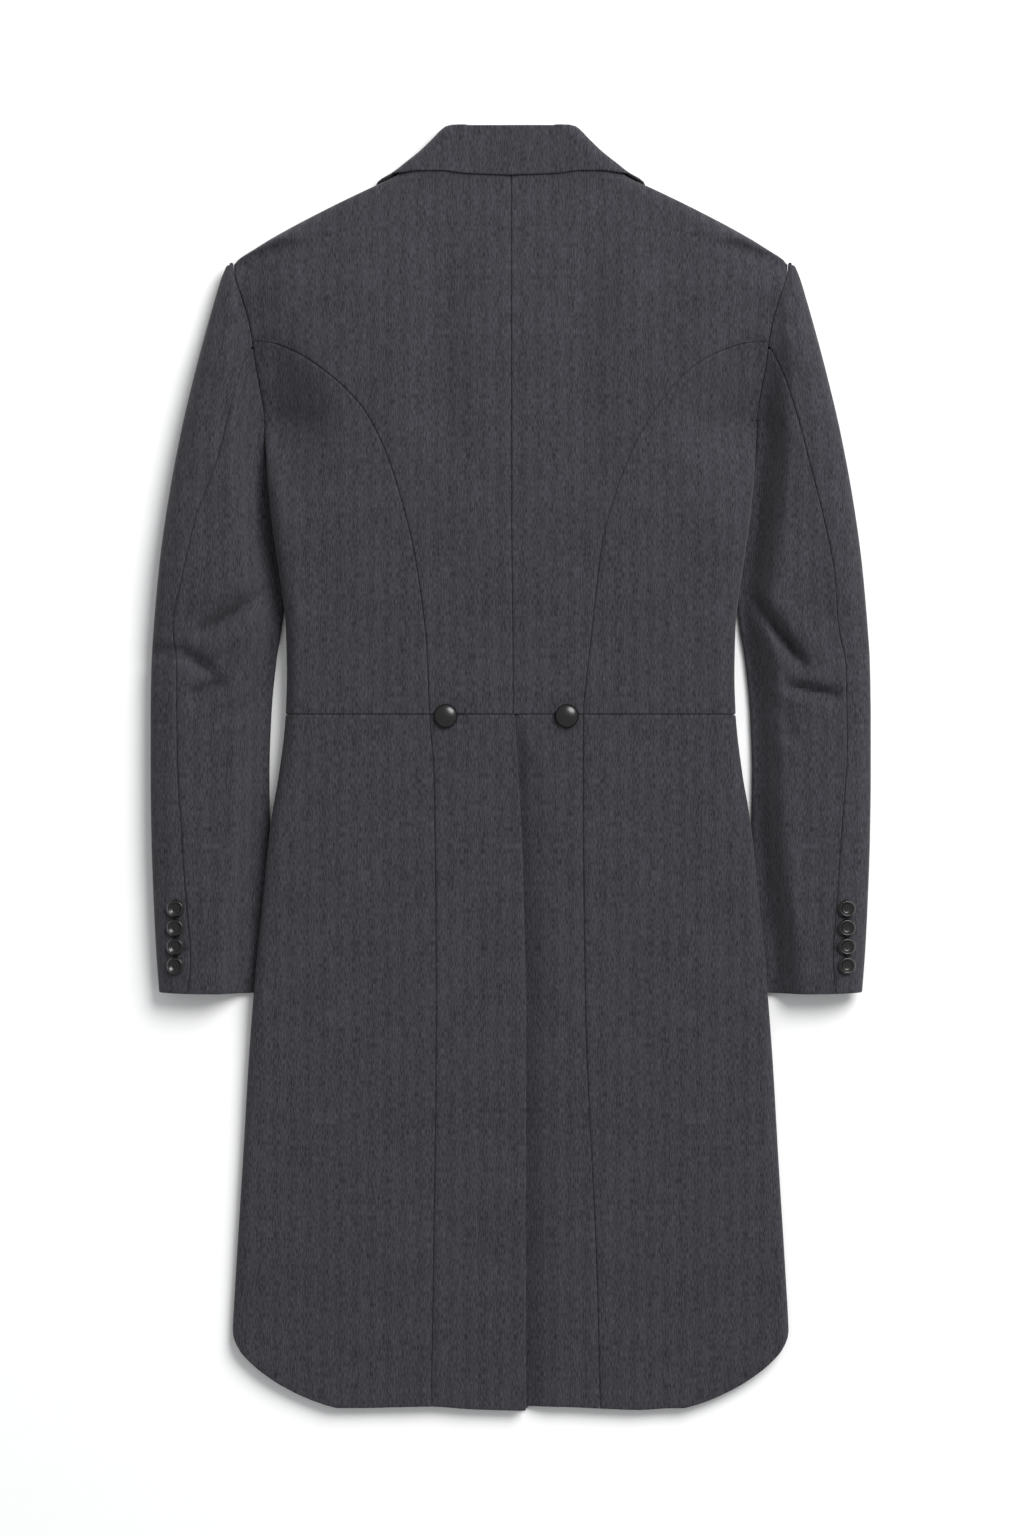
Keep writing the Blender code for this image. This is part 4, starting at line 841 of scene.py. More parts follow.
# %% The foreparts
def roll_turn(drop):
    """Turn of the line that the collar and lapels turn back along."""
    return under_turn(read(ROLL_LINE, "reach", drop), drop)


def make_forepart(side_name):
    """The front, on the underside from the shoulder and the side to its roll line."""
    side = SIDE_SIGN[side_name]
    surface = partial(body, side)
    below_armhole = seam_beside(surface, on_underside(FRONT_SEAMS, "reach"), HALF_GAP)
    shoulder = seam_beside(surface, fixed(FOLD_TIP), HALF_GAP)

    def outer(drops):
        line = np.where(drops < SHOULDER_TIP, shoulder(drops), 1.0 + BODY_FOLD)
        return np.where(drops > SIDE_SEAM_TOP + 0.1, below_armhole(drops), line)

    def facing_line(drops):
        covered = np.maximum(facing_reach(drops), OVERLAP_REACH) + 2.5
        line = np.maximum(under_turn(covered, drops), 1.0 + BODY_FOLD)
        return np.where(drops < 66.0, 1.0 + BODY_FOLD, line)

    stops = [stop(outer, "seam", after=True), stop(facing_line), stop(roll_turn, "free", before=True)]
    rows = lay_rows(NECK_SEAM + HALF_GAP, WAIST - HALF_GAP, "plain", "seam",
                    SHOULDER_ROWS + ARMHOLE_ROWS + (LAPEL_FOOT + 2.0, LAPEL_FOOT + 12.0),
                    cell=4.5) + ("plain", "seam")
    cut_piece("forepart_%s_cloth" % side_name, surface, side, stops, [22, 22], rows)


for side_name in SIDE_SIGN:
    make_forepart(side_name)

# %% [markdown]
# ## Tails and skirts
#
# Below the waist seam two narrow tails stand either side of the vent, the left one over the
# right one. The skirts go from the tail seams round the sides, and their front edge sweeps back
# in one curve that comes round the side at the rounded corner of the hem.


# %% The tails
def make_tail(side_name):
    """The strip beside the vent."""
    side = SIDE_SIGN[side_name]
    surface = partial(tail_surface, side)

    def free_edge(drops):
        if side_name == "left":
            return top_turn(-read(VENT_EDGE, "reach", drops), drops)
        return top_turn(-VENT_UNDERLAP + 0.0 * drops, drops)

    stops = [stop(free_edge, "free", after=True),
             stop(seam_beside(surface, on_top(BACK_SEAMS, side_name), -HALF_GAP), "seam", before=True)]
    rows = lay_rows(WAIST + HALF_GAP, HEM, "seam", "free", (520.0, 556.0)) + ("seam", "free")
    cut_piece("tail_%s_cloth" % side_name, surface, side, stops, [24], rows,
              anchor=-1, anchor_across=read(BACK_SEAMS, side_name, rows[0]))


for side_name in SIDE_SIGN:
    make_tail(side_name)


# %% The skirts
def skirt_edge(drops):
    """Turn of the skirt's free edge, which comes round the side fold near the hem."""
    below = under_turn(read(SKIRT_EDGES, "reach", drops), drops)
    down = np.clip((drops - CORNER_TOP) / CORNER_HEIGHT, 0.0, 1.0)
    reach = CORNER_REACH + CORNER_WIDTH * (1.0 - down ** CORNER_POWER) ** (1.0 / CORNER_POWER)
    above = top_turn(reach, drops)
    start = under_turn(read(SKIRT_EDGES, "reach", CORNER_START), CORNER_START)
    down = (CORNER_END - CORNER_TOP) / CORNER_HEIGHT
    end_reach = CORNER_REACH + CORNER_WIDTH * (1.0 - down ** CORNER_POWER) ** (1.0 / CORNER_POWER)
    end = top_turn(end_reach, CORNER_END)
    share = np.clip((drops - CORNER_START) / (CORNER_END - CORNER_START), 0.0, 1.0)
    line = np.where(drops < CORNER_END, start * (1.0 - share) + end * share, above)
    return np.where(drops <= CORNER_START, below, line)


def make_skirt(side_name):
    """From the tail seam round the side fold to the cut-away front edge."""
    side = SIDE_SIGN[side_name]
    surface = partial(body, side)
    stops = [stop(seam_beside(surface, on_top(BACK_SEAMS, side_name), HALF_GAP), "seam", after=True),
             stop(skirt_edge, "free", before=True)]
    rows = lay_rows(WAIST + HALF_GAP, HEM, "seam", "free",
                    (520.0, 575.0, 600.0, 735.0, 785.0, 1000.0, 1020.0, 1034.0)) + ("seam", "free")
    cut_piece("skirt_%s_cloth" % side_name, surface, side, stops, [110], rows)


for side_name in SIDE_SIGN:
    make_skirt(side_name)

# %% [markdown]
# ## Sleeves
#
# Each sleeve has two pieces. The top sleeve goes over the outer side from the hindarm seam to
# the forearm seam beneath, and its cap fills the armhole. The under sleeve is the rest.


# %% The sleeves
ELBOW_ROWS = (392.0, 412.0, 430.0, 448.0, 464.0, 482.0)


def sleeve_middle(drops):
    """Reach of the sleeve's own middle line, which its grain follows."""
    return (read(SLEEVES, "inner", drops) + read(SLEEVES, "outer", drops)) / 2.0


def make_sleeve(side_name):
    """The top sleeve round the outer fold and the under sleeve round the inner one."""
    side = SIDE_SIGN[side_name]
    surface = partial(sleeve, side)
    hind = partial(hind_turn, side_name)
    hind_after = seam_beside(surface, hind, HALF_GAP)
    fore_before = seam_beside(surface, fore_turn, -HALF_GAP)
    cap_end = HINDARM_TOP - 2.0

    def top_start(drops):
        return np.where(drops < cap_end, 0.0, hind_after(drops))

    def top_end(drops):
        return np.where(drops < cap_end, LOWER_END, fore_before(drops))

    def hind_before(drops):
        return SLEEVE_LOOP + seam_beside(surface, hind, -HALF_GAP)(drops)

    extras = ARMHOLE_ROWS + (HINDARM_TOP,) + ELBOW_ROWS
    rows = lay_rows(SHOULDER_TIP + 0.4, CUFF, "seam", "free", extras) + ("seam", "free")
    seam_reach = np.where(rows[0] < cap_end, sleeve_start(rows[0]),
                          read(ARM_SEAMS, "hind_" + side_name, rows[0]))
    stops = [stop(top_start, "seam", after=True), stop(fixed(1.0 + SLEEVE_FOLD / 2.0)),
             stop(fixed(1.0 + SLEEVE_FOLD)), stop(top_end, "seam", before=True)]
    cut_piece("top_sleeve_%s_cloth" % side_name, surface, side, stops, [26, 12, 14], rows,
              anchor_across=seam_reach - sleeve_middle(rows[0]))

    rows = lay_rows(HINDARM_TOP, CUFF, "seam", "free", extras) + ("seam", "free")
    stops = [stop(seam_beside(surface, fore_turn, HALF_GAP), "seam", after=True),
             stop(fixed(LOWER_END)),
             stop(fixed(SLEEVE_LOOP), "seam", after=True, fades_at=ARMPIT),
             stop(hind_before, "seam", before=True)]
    cut_piece("under_sleeve_%s_cloth" % side_name, surface, side, stops, [6, 6, 22], rows,
              anchor=-1, open_until=ARMPIT,
              anchor_across=read(ARM_SEAMS, "hind_" + side_name, rows[0]) - sleeve_middle(rows[0]))


for side_name in SIDE_SIGN:
    make_sleeve(side_name)

# %% [markdown]
# ## Collar
#
# The collar is a leaf that falls over a stand. The leaf covers the back neck seam, goes round
# both sides of the neck and comes down in front to meet the lapels at the gorge. Its upper edge
# is a fold in the real collar, so the top rows roll over towards the stand.

# %% Tables of the collar
Leaf = namedtuple("Leaf", "reach low")
LEAF_EDGE = [
    Leaf(0.0, 42.8), Leaf(40.0, 41.2), Leaf(62.0, 38.9), Leaf(80.0, 38.9), Leaf(97.8, 43.0),
]
LEAF_DROP = 43.0
LEAF_TOP = 0.4
LEAF_SHAPED = 35.0       # drop from which the rows follow the leaf's curved edge
COLLAR_TURN = 18.0
COLLAR_EASE = 1.6
COLLAR_END = 101.0
FRONT_COLUMNS = 28
BACK_COLUMNS = 46
BACK_ROWS = 20
FRONT_ROWS = 26


def close_shares(count, length):
    """Shares from 0 to 1 with four fine steps at both ends of a length in millimetres."""
    fine = np.array(EDGE_STEPS) / length
    middle = np.linspace(fine[-1], 1.0 - fine[-1], count)[1:-1]
    return np.concatenate((fine, middle, 1.0 - fine[::-1]))


# %% The leaf of the collar
def front_turn(share, drop):
    """Turn on the front part of the leaf, from the roll line, 0, to its outer edge, 1."""
    low_edge = under_turn(read(COLLAR_EDGE, "reach", drop), drop)
    turned = smooth((drop - LEAF_DROP) / COLLAR_TURN)
    outer = FOLD_TIP + (low_edge - FOLD_TIP) * turned
    inner = roll_turn(drop)
    middle = 1.0 + BODY_FOLD
    middle = middle + ((inner + outer) / 2.0 - middle) * turned
    first = inner + (middle - inner) * np.clip(3.0 * share, 0.0, 1.0)
    return first + (outer - middle) * np.clip(1.5 * share - 0.5, 0.0, 1.0)


def back_turn(share):
    """Turn on the back part of the leaf, from the fold's tip, 0, to the centre, 1."""
    first = FOLD_TIP + (1.0 - FOLD_TIP) * np.clip(share / 0.2, 0.0, 1.0)
    return first - np.clip((share - 0.2) / 0.8, 0.0, 1.0)


def collar_shape():
    """Turn and drop of each place on the leaf, with its sinks."""
    front = close_shares(FRONT_COLUMNS, 60.0)
    back = np.linspace(0.0, 1.0, BACK_COLUMNS)
    halves = len(front) + len(back) - 1
    rows_back = np.concatenate((LEAF_TOP + np.array((0.0, 0.5, 1.2, 2.2, 3.6)),
                                np.linspace(5.5, LEAF_SHAPED, BACK_ROWS)[:-1],
                                LEAF_SHAPED + (LEAF_DROP - LEAF_SHAPED)
                                * np.concatenate((np.linspace(0.0, 0.55, 4), 1.0 - np.array((3.0, 1.7, 0.9, 0.4, 0.0)) / 8.0))))
    shares_front = close_shares(FRONT_ROWS, 60.0)[1:]
    columns, rows = 2 * halves - 1, len(rows_back) + len(shares_front)
    turn, drop = np.zeros((columns, rows)), np.zeros((columns, rows))
    for column in range(halves):
        in_front = column < len(front)
        share = front[column] if in_front else 1.0
        end = GORGE_INNER - SEAM_GAP
        end += (COLLAR_END - end) * share
        line = np.concatenate((rows_back, LEAF_DROP + (end - LEAF_DROP) * shares_front))
        if in_front:
            turned = front_turn(share, line)
        else:
            turned = back_turn(back[column - len(front) + 1]) + 0.0 * line
        if column >= len(front) - 1:
            reach = abs(whole_body(turned, line)[..., 0])
            shaped = np.clip((line - LEAF_SHAPED) / (LEAF_DROP - LEAF_SHAPED), 0.0, 1.0)
            shaped = np.where(line > LEAF_DROP, 0.0, shaped)
            line = line + (read(LEAF_EDGE, "low", reach) - LEAF_DROP) * shaped
        for place, sign in ((column, -1.0), (columns - 1 - column, 1.0)):
            turn[place], drop[place] = sign * turned, line
    keep = np.ones((columns - 1, rows - 1), bool)
    keep[len(front) - 1:columns - len(front), len(rows_back) - 1:] = False
    return turn, drop, keep, len(front), len(rows_back)


def make_collar():
    """The leaf, with a rolled top and rounded free edges."""
    turn, drop, keep, front, back_rows = collar_shape()
    middle = whole_body(turn, drop)
    by_turn, by_drop = slopes(whole_body, turn, drop)
    outward = -np.cross(by_turn, by_drop)
    outward /= np.linalg.norm(outward, axis=-1)[..., None]
    in_fold = np.clip((abs(turn) - 1.0) / BODY_FOLD, 0.0, 1.0)
    clear = LAY + COLLAR_EASE * np.sin(np.pi * in_fold)
    sink = np.zeros_like(turn)
    sink[:, :5] = (1.5, 0.8, 0.34, 0.1, 0.0)
    draw = np.zeros_like(turn)
    round_off = np.array(EDGE_ROUND)
    columns = turn.shape[0]
    for place in range(5):
        draw[:, -1 - place] = round_off[place]
        draw[front - 1:columns - front + 1, back_rows - 1 - place] = round_off[place]
        for column in (place, columns - 1 - place, front - 1 - place, columns - front + place):
            edge = slice(back_rows - 1, None) if column in (front - 1 - place, columns - front + place) else slice(None)
            draw[column, edge] = np.maximum(draw[column, edge], round_off[place])
    outer = middle + outward * (clear - np.maximum(sink, draw))[..., None]
    inner = middle + outward * (clear - CLOTH + draw - sink * 0.3)[..., None]
    outer[..., 2], inner[..., 2] = np.maximum(outer[..., 2], 0.0), np.maximum(inner[..., 2], 0.0)
    straight_top = LENGTH / 2.0 + 0.2 - 0.004 * (drop - LEAF_TOP)
    outer[..., 1] = np.minimum(outer[..., 1], straight_top)
    inner[..., 1] = np.minimum(inner[..., 1], straight_top - 0.5)
    centre = (columns - 1) // 2
    grain = grain_map(middle, centre, 0.0, drop)
    piece = cloth_wall("collar_cloth", outer, inner, grain, keep)
    dress(piece, "collar", middle, keep)


make_collar()


# %% The collar's stand
def make_stand():
    """The strip that the leaf turns over."""
    front = stop(roll_turn, "plain")
    stops = [stop(lambda drops: -roll_turn(drops)), stop(fixed(-1.0 - BODY_FOLD)), stop(fixed(-1.0)),
             stop(fixed(1.0)), stop(fixed(1.0 + BODY_FOLD)), front]
    rows = lay_rows(1.0, NECK_SEAM - 0.9, "free", "plain", cell=2.4) + ("free", "plain")
    cut_piece("collar_stand_cloth", whole_body, 1.0, stops, [6, 14, 40, 14, 6], rows,
              thick=1.6, anchor=0, anchor_across=0.0 * rows[0])


make_stand()

# %% [markdown]
# ## Lapels
#
# The lapels are the turned-back fronts. They lie flat on the table under the foreparts, and end
# at the gorge, where they meet the collar in a notch.


# %% The lapels
def make_lapel(side_name):
    """The turned-back front from its roll line to its outer edge."""
    side = SIDE_SIGN[side_name]
    surface = partial(body, side)
    shares, steps = close_shares(24, 70.0), close_shares(90, 310.0)
    share = shares[:, None] + 0.0 * steps
    top = GORGE_INNER + (GORGE_OUTER - GORGE_INNER) * share
    drop = top + (LAPEL_FOOT - top) * steps
    inner_edge = read(ROLL_LINE, "reach", drop)
    reach = inner_edge + (read(LAPEL_EDGE, "reach", drop) - inner_edge) * share
    turn = under_turn(reach, drop)
    middle = surface(turn, drop)
    by_turn, by_drop = slopes(surface, turn, drop)
    outward = np.cross(by_turn, by_drop) * -side
    outward /= np.linalg.norm(outward, axis=-1)[..., None]
    draw = np.zeros_like(turn)
    for place in range(5):
        for edge in (draw[place], draw[-1 - place], draw[:, place], draw[:, -1 - place]):
            edge[:] = np.maximum(edge, EDGE_ROUND[place])
    outer = middle + outward * (LAY - draw)[..., None]
    inner = middle + outward * (LAY - CLOTH + draw)[..., None]
    outer[..., 2], inner[..., 2] = np.maximum(outer[..., 2], 0.0), np.maximum(inner[..., 2], 0.0)
    piece = cloth_wall("lapel_%s_cloth" % side_name, outer, inner, grain_map(middle, 0, inner_edge[0], drop))
    dress(piece, "lapel_" + side_name, middle)


for side_name in SIDE_SIGN:
    make_lapel(side_name)
print(len(COAT_PIECES), "pieces of cloth,", sum(len(p.data.polygons) for p in COAT_PIECES.values()), "faces")

# %% [markdown]
# ## Buttons
#
# The two waist buttons are polished domes and the eight cuff buttons are dished, with a rim
# round a sunk middle and four holes. A turned shape is spun from its profile, with the rounds
# drawn as short arcs of points.

# %% Spin a profile
WAIST_BUTTONS = {"left": 54.5, "right": 47.2}
WAIST_BUTTON_DROP = 497.6
CUFF_BUTTONS = {"left": 281.2, "right": 281.9}
CUFF_BUTTON_DROPS = (659.4, 675.5, 691.3, 707.1)


def turned(profile, segments=64):
    """A closed turned shape from radius and height pairs, in millimetres."""
    shape = bmesh.new()
    line = [shape.verts.new((radius * MM, 0.0, height * MM)) for radius, height in profile]
    for first, last in zip(line, line[1:]):
        shape.edges.new((first, last))
    bmesh.ops.spin(shape, geom=shape.verts[:] + shape.edges[:], cent=(0, 0, 0), axis=(0, 0, 1),
                   dvec=(0, 0, 0), angle=math.tau, steps=segments, use_merge=True)
    bmesh.ops.remove_doubles(shape, verts=shape.verts, dist=0.000002)
    bmesh.ops.recalc_face_normals(shape, faces=shape.faces)
    return shape


def place_shape(name, shape, surface, side, turn, drop, spin=0.0):
    """Seat a shape on the cloth, square to it, and link it as a piece."""
    by_turn, by_drop = slopes(surface, np.array(turn), np.array(drop))
    up = Vector(np.cross(by_turn, by_drop) * -side).normalized()
    place = Vector(surface(np.array(turn), np.array(drop))) * MM + up * SEAM_GAP * MM
    turned_up = Vector((0.0, 0.0, 1.0)).rotation_difference(up).to_matrix().to_4x4()
    shape.transform(Matrix.Translation(place) @ turned_up @ Matrix.Rotation(spin, 4, "Z"))
    mesh = bpy.data.meshes.new(name)
    shape.to_mesh(mesh)
    shape.free()
    mesh.shade_smooth()
    mesh.set_sharp_from_angle(angle=math.radians(45.0))
    piece = bpy.data.objects.new(name, mesh)
    bpy.context.scene.collection.objects.link(piece)
    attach(piece, "root")
    return piece


def arc(centre, radius, first, last, steps):
    """Points of a short round in a profile, between two angles in degrees."""
    angles = np.radians(np.linspace(first, last, steps))
    return [(centre[0] + radius * math.cos(a), centre[1] + radius * math.sin(a)) for a in angles]


# %% The waist buttons
DOME_RADIUS, DOME_HEIGHT, DOME_RIM = 10.0, 6.4, 1.4
DOME = [(0.0, DOME_HEIGHT)]
for step in range(1, 19):
    angle = math.pi / 2.0 * step / 18
    DOME.append((DOME_RADIUS * math.sin(angle), DOME_RIM + (DOME_HEIGHT - DOME_RIM) * math.cos(angle)))
DOME += arc((DOME_RADIUS - 0.7, 0.75), 0.7, 0.0, -90.0, 5)
DOME += [(0.0, 0.05)]
polished = []
for side_name, reach in WAIST_BUTTONS.items():
    side = SIDE_SIGN[side_name]
    turn = float(top_turn(reach, WAIST_BUTTON_DROP))
    made = place_shape("waist_button_%s_dome" % side_name, turned(DOME), partial(body, side),
                       side, turn, WAIST_BUTTON_DROP)
    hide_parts("waist_button_" + side_name)
    polished.append(made)

# %% The cuff buttons
DISH = [(0.0, 1.25), (3.0, 1.2), (3.6, 1.4), (4.3, 2.1), (4.9, 2.6)]
DISH += arc((5.9, 2.4), 0.80, 140.0, 15.0, 9)
DISH += [(7.2, 2.1), (7.5, 1.7), (7.3, 1.0), (6.6, 0.2), (0.0, 0.0)]


def four_holes():
    """Four slim cones that stand where the holes go, as one cutter."""
    shape = bmesh.new()
    for quarter in range(4):
        angle = math.radians(45.0 + 90.0 * quarter)
        grown = bmesh.ops.create_cone(shape, cap_ends=True, segments=16, radius1=0.0006,
                                      radius2=0.0008, depth=0.0024)
        place = Vector((1.5 * MM * math.cos(angle), 1.5 * MM * math.sin(angle), 0.0018))
        bmesh.ops.translate(shape, verts=grown["verts"], vec=place)
    mesh = bpy.data.meshes.new("hole_cutter")
    shape.to_mesh(mesh)
    shape.free()
    cutter = bpy.data.objects.new("hole_cutter", mesh)
    bpy.context.scene.collection.objects.link(cutter)
    return cutter


def drilled(shape):
    """The turned dish with its four holes cut by a Boolean, as a new bmesh."""
    mesh = bpy.data.meshes.new("dish_blank")
    shape.to_mesh(mesh)
    shape.free()
    blank = bpy.data.objects.new("dish_blank", mesh)
    bpy.context.scene.collection.objects.link(blank)
    cutter = four_holes()
    cut = blank.modifiers.new("holes", "BOOLEAN")
    cut.operation, cut.solver, cut.object = "DIFFERENCE", "EXACT", cutter
    bpy.context.view_layer.update()
    cut_mesh = bpy.data.meshes.new_from_object(
        blank.evaluated_get(bpy.context.evaluated_depsgraph_get()))
    made = bmesh.new()
    made.from_mesh(cut_mesh)
    for spare in (blank, cutter):
        bpy.data.objects.remove(spare)
    bpy.data.meshes.remove(cut_mesh)
    return made


for side_name, reach in CUFF_BUTTONS.items():
    side = SIDE_SIGN[side_name]
    for number, drop in enumerate(CUFF_BUTTON_DROPS, 1):
        turn = float(sleeve_turn(reach, drop))
        made = place_shape("cuff_button_%s_%d_dish" % (side_name, number), drilled(turned(DISH)),
                           partial(sleeve, side), side, turn, drop, spin=0.35 * number)
        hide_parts("cuff_button_%s_%d" % (side_name, number))
        polished.append(made)
print(len(polished), "buttons")

# %% [markdown]
# ## Thread
#
# Each cuff button is held by thread that crosses its sunk middle between the holes, and a short
# bar of close stitches strengthens the waist seam beside the left waist button. A stitch is a
# thin round bar, so it is a slim cone shape with equal ends, laid where the needle went.

# %% Threads and the bar of stitches
THREAD = 0.30            # radius of a stitch


def stitch(shape, start, end, radius=THREAD):
    """Add one round stitch between two places, in millimetres."""
    start, end = Vector(start) * MM, Vector(end) * MM
    grown = bmesh.ops.create_cone(shape, cap_ends=True, segments=10, radius1=radius * MM,
                                  radius2=radius * MM, depth=(end - start).length)
    turn = Vector((0.0, 0.0, 1.0)).rotation_difference(end - start).to_matrix().to_4x4()
    bmesh.ops.transform(shape, matrix=Matrix.Translation((start + end) / 2.0) @ turn,
                        verts=grown["verts"])


threads = []
for side_name, reach in CUFF_BUTTONS.items():
    side = SIDE_SIGN[side_name]
    for number, drop in enumerate(CUFF_BUTTON_DROPS, 1):
        shape = bmesh.new()
        for across in (-1.06, 1.06):
            stitch(shape, (across, -1.1, 1.4), (across, 1.1, 1.4))
        made = place_shape("cuff_thread_%s_%d" % (side_name, number), shape, partial(sleeve, side),
                           side, float(sleeve_turn(reach, drop)), drop, spin=0.35 * number)
        threads.append(made)

shape = bmesh.new()
for row in range(2):
    for number in range(7):
        across = -3.0 + number
        stitch(shape, (across, -0.9 + row, 0.1), (across + 0.75, -0.6 + row, 0.1), 0.22)
threads.append(place_shape("waist_bar_stitches", shape, partial(body, -1.0), -1.0,
                           float(top_turn(41.4, 495.2)), 495.2))
print(len(threads), "threads")

# %% [markdown]
# ## Materials as expressions
#
# Shader maths is easier to read as an expression than as a row of nodes. This small class wraps
# a socket, so that adding or multiplying two of them makes the Math node that does it.

# %% Shader sockets that add and multiply
class Wire:
    """A socket that takes part in Python expressions."""

    def __init__(self, finish, socket):
        self.finish, self.socket = finish, socket

    def math(self, operation, *values):
        return self.finish.node("ShaderNodeMath", {"operation": operation}, dict(enumerate(values)))

    def __add__(self, other):
        return self.math("ADD", self, other)

    def __sub__(self, other):
        return self.math("SUBTRACT", self, other)

    def __rsub__(self, other):
        return self.math("SUBTRACT", other, self)

    def __mul__(self, other):
        return self.math("MULTIPLY", self, other)

    def __truediv__(self, other):
        return self.math("DIVIDE", self, other)

    __radd__, __rmul__ = __add__, __mul__


class Finish:
    """A material and the nodes that make it."""

    def __init__(self, name, **constants):
        self.material = bpy.data.materials.new(name)
        self.material.use_nodes = True
        self.tree = self.material.node_tree
        self.shader = self.tree.nodes["Principled BSDF"]
        for socket, value in constants.items():
            self.shader.inputs[socket.replace("_", " ")].default_value = value

    def put(self, socket, value):
        """Link a wire to a socket, or set a number or colour on it."""
        if isinstance(value, Wire):
            self.tree.links.new(value.socket, socket)
        else:
            socket.default_value = value

    def node(self, kind, settings=None, values=None, output=0):
        made = self.tree.nodes.new(kind)
        for name, value in (settings or {}).items():
            setattr(made, name, value)
        for socket, value in (values or {}).items():
            self.put(made.inputs[socket], value)
        return Wire(self, made.outputs[output])

    def blend(self, share, first, last):
        """Mix two colours by a wire."""
        made = self.tree.nodes.new("ShaderNodeMix")
        made.data_type = "RGBA"
        for number, value in ((0, share), (6, first), (7, last)):
            self.put(made.inputs[number], value)
        return Wire(self, made.outputs[2])

    def noise(self, across, down, depth=0.0, detail=2.0):
        """Noise with one feature per unit of its coordinates, from 0 to 1."""
        place = self.node("ShaderNodeCombineXYZ", None, {0: across, 1: down, 2: depth})
        return self.node("ShaderNodeTexNoise", {"noise_dimensions": "3D"},
                         {"Vector": place, "Scale": 1.0, "Detail": detail})

    def bump(self, height, distance, strength=1.0):
        made = self.node("ShaderNodeBump", None,
                         {"Height": height, "Distance": distance, "Strength": strength})
        self.put(self.shader.inputs["Normal"], made)


# %% [markdown]
# ## Herringbone wool
#
# In herringbone the diagonal lines of a twill turn back every few millimetres, which makes
# narrow stripes up and down the cloth. A ping-pong of the distance across gives that turning.
# Yarns differ a little, so fine streaks run along the grain, with soft mottling over them.

# %% The coat's wool
STRIPE = 6.7             # width of one herringbone stripe, in millimetres
TWILL = 1.65             # spacing of its diagonal lines


def make_wool(name, dark, light):
    wool = Finish(name, Sheen_Weight=0.12, Sheen_Roughness=0.5, Specular_IOR_Level=0.18)
    weave = wool.node("ShaderNodeUVMap", {"uv_map": "weave"})
    parts = wool.node("ShaderNodeSeparateXYZ", None, {0: weave})
    across = parts * 1000.0
    down = Wire(wool, parts.socket.node.outputs[1]) * 1000.0
    turned_back = across.math("PINGPONG", across, STRIPE)
    stripe = (across * (math.pi / STRIPE)).math("SINE", across * (math.pi / STRIPE))
    line = (down + turned_back * 1.25) * (math.tau / TWILL)
    twill = line.math("SINE", line) * 0.5 + 0.5
    streak = wool.noise(across * 1.2, down * 0.22)
    long_streak = wool.noise(across * 1.0, down * 0.07, 11.0)
    yarn = wool.noise(across * 0.36, down * 0.05, 7.0)
    mottle = wool.noise(across * 0.03, down * 0.021, 3.0)
    shade = (0.5 + (streak - 0.5) * 2.20 + (long_streak - 0.5) * 1.10 + (yarn - 0.5) * 0.45 + (twill - 0.5) * 0.24
             + stripe * 0.06 + (mottle - 0.5) * 0.30)
    wool.put(wool.shader.inputs["Base Color"], wool.blend(shade, dark, light))
    wool.put(wool.shader.inputs["Roughness"], 0.86 + streak * 0.1)
    wool.bump(twill * 0.5 + streak, 0.00022, 0.55)
    return wool.material


wool = make_wool("charcoal_herringbone", (0.0135, 0.0132, 0.0166, 1.0), (0.0560, 0.0546, 0.0648, 1.0))
for piece in COAT_PIECES.values():
    piece.data.materials.append(wool)

# %% [markdown]
# ## Polished horn and thread
#
# The buttons are nearly black and glossy. A few faint streaks in the colour and small changes
# in roughness, as polishing leaves them, keep the gloss from looking like glass.

# %% The buttons' horn and the thread
horn = Finish("black_horn", Specular_IOR_Level=0.6)
place = horn.node("ShaderNodeTexCoord", output=3)
grain = horn.node("ShaderNodeTexNoise", None, {"Vector": place, "Scale": 420.0, "Detail": 3.0})
polish = horn.node("ShaderNodeTexNoise", None, {"Vector": place, "Scale": 1500.0, "Detail": 2.0})
horn.put(horn.shader.inputs["Base Color"],
         horn.blend(grain, (0.0015, 0.0015, 0.0018, 1.0), (0.0050, 0.0050, 0.0056, 1.0)))
horn.put(horn.shader.inputs["Roughness"], 0.24 + polish * 0.10)
horn.bump(polish, 0.00002, 0.3)
for piece in polished:
    piece.data.materials.append(horn.material)

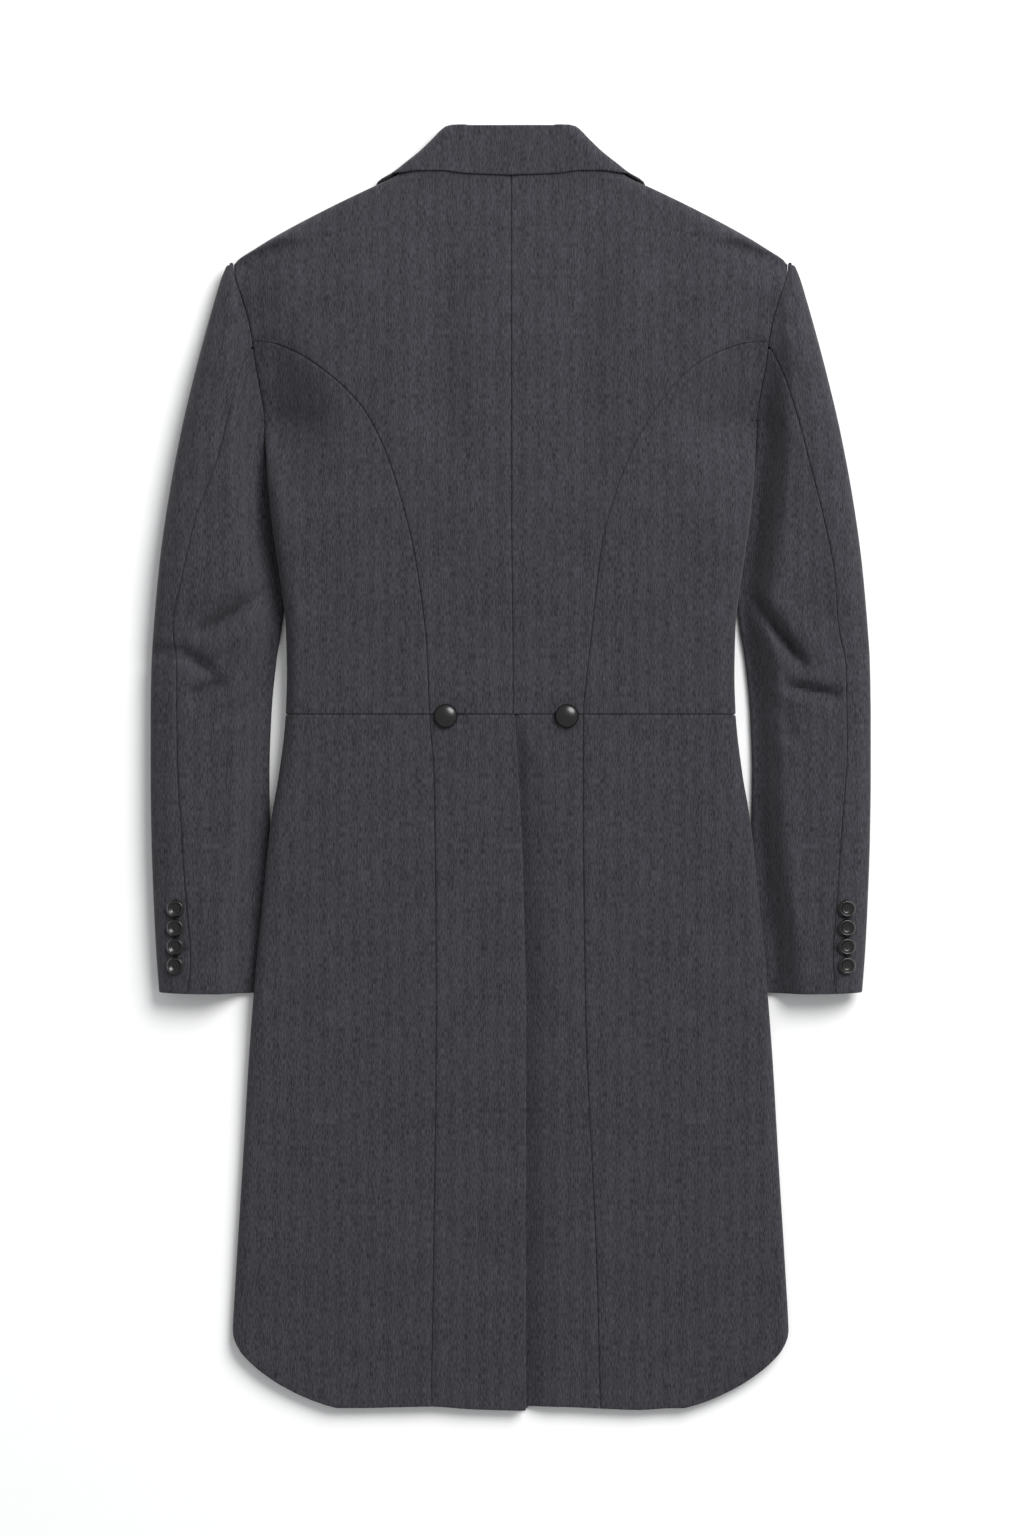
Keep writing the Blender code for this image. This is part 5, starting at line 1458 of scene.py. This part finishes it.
silk = Finish("buttonhole_thread", Specular_IOR_Level=0.3)
place = silk.node("ShaderNodeTexCoord", output=3)
ply = silk.node("ShaderNodeTexNoise", None, {"Vector": place, "Scale": 3500.0, "Detail": 1.0})
silk.put(silk.shader.inputs["Base Color"],
         silk.blend(ply, (0.008, 0.008, 0.010, 1.0), (0.030, 0.029, 0.034, 1.0)))
silk.put(silk.shader.inputs["Roughness"], 0.55 + ply * 0.2)
silk.bump(ply, 0.00005, 0.5)
for piece in threads:
    piece.data.materials.append(silk.material)

# %% [markdown]
# ## Table, light and camera
#
# The photograph looks straight down on a white surface, and its soft shadows fall to the left
# and below. One large lamp at the upper right makes them, and a pale sky fills them in.

# %% Table
shape = bmesh.new()
bmesh.ops.create_grid(shape, x_segments=2, y_segments=2, size=30.0)
bmesh.ops.translate(shape, verts=shape.verts, vec=(0.0, 0.0, -0.0005))
mesh = bpy.data.meshes.new("table")
shape.to_mesh(mesh)
shape.free()
table = bpy.data.objects.new("table", mesh)
bpy.context.scene.collection.objects.link(table)
paint = Finish("white_paper", Specular_IOR_Level=0.0)
place = paint.node("ShaderNodeTexCoord", output=3)
fibre = paint.node("ShaderNodeTexNoise", None, {"Vector": place, "Scale": 60.0, "Detail": 2.0})
paint.put(paint.shader.inputs["Base Color"],
          paint.blend(fibre, (0.93, 0.93, 0.93, 1.0), (0.95, 0.95, 0.95, 1.0)))
paint.put(paint.shader.inputs["Roughness"], 0.95)
mesh.materials.append(paint.material)

# %% Lamp and sky
lamp_data = bpy.data.lights.new("upper_right_window", "AREA")
lamp_data.shape, lamp_data.size = "DISK", 3.2
lamp_data.energy = 268.0
lamp = bpy.data.objects.new("upper_right_window", lamp_data)
lamp.location = (2.2, 2.6, 3.35)
lamp.rotation_euler = (-Vector(lamp.location)).to_track_quat("-Z", "Y").to_euler()
bpy.context.scene.collection.objects.link(lamp)
sky = bpy.data.worlds.new("pale_sky")
sky.use_nodes = True
sky.node_tree.nodes["Background"].inputs["Color"].default_value = (0.98, 0.99, 1.0, 1.0)
sky.node_tree.nodes["Background"].inputs["Strength"].default_value = 0.50
bpy.context.scene.world = sky
bpy.context.scene.view_settings.view_transform = "Standard"

# %% Camera straight above
lens = bpy.data.cameras.new("overhead")
lens.lens, lens.sensor_width = 135.0, 36.0
camera = bpy.data.objects.new("overhead", lens)
camera.location = (0.0011, 0.0001, 4.862)
bpy.context.scene.collection.objects.link(camera)
bpy.context.scene.camera = camera
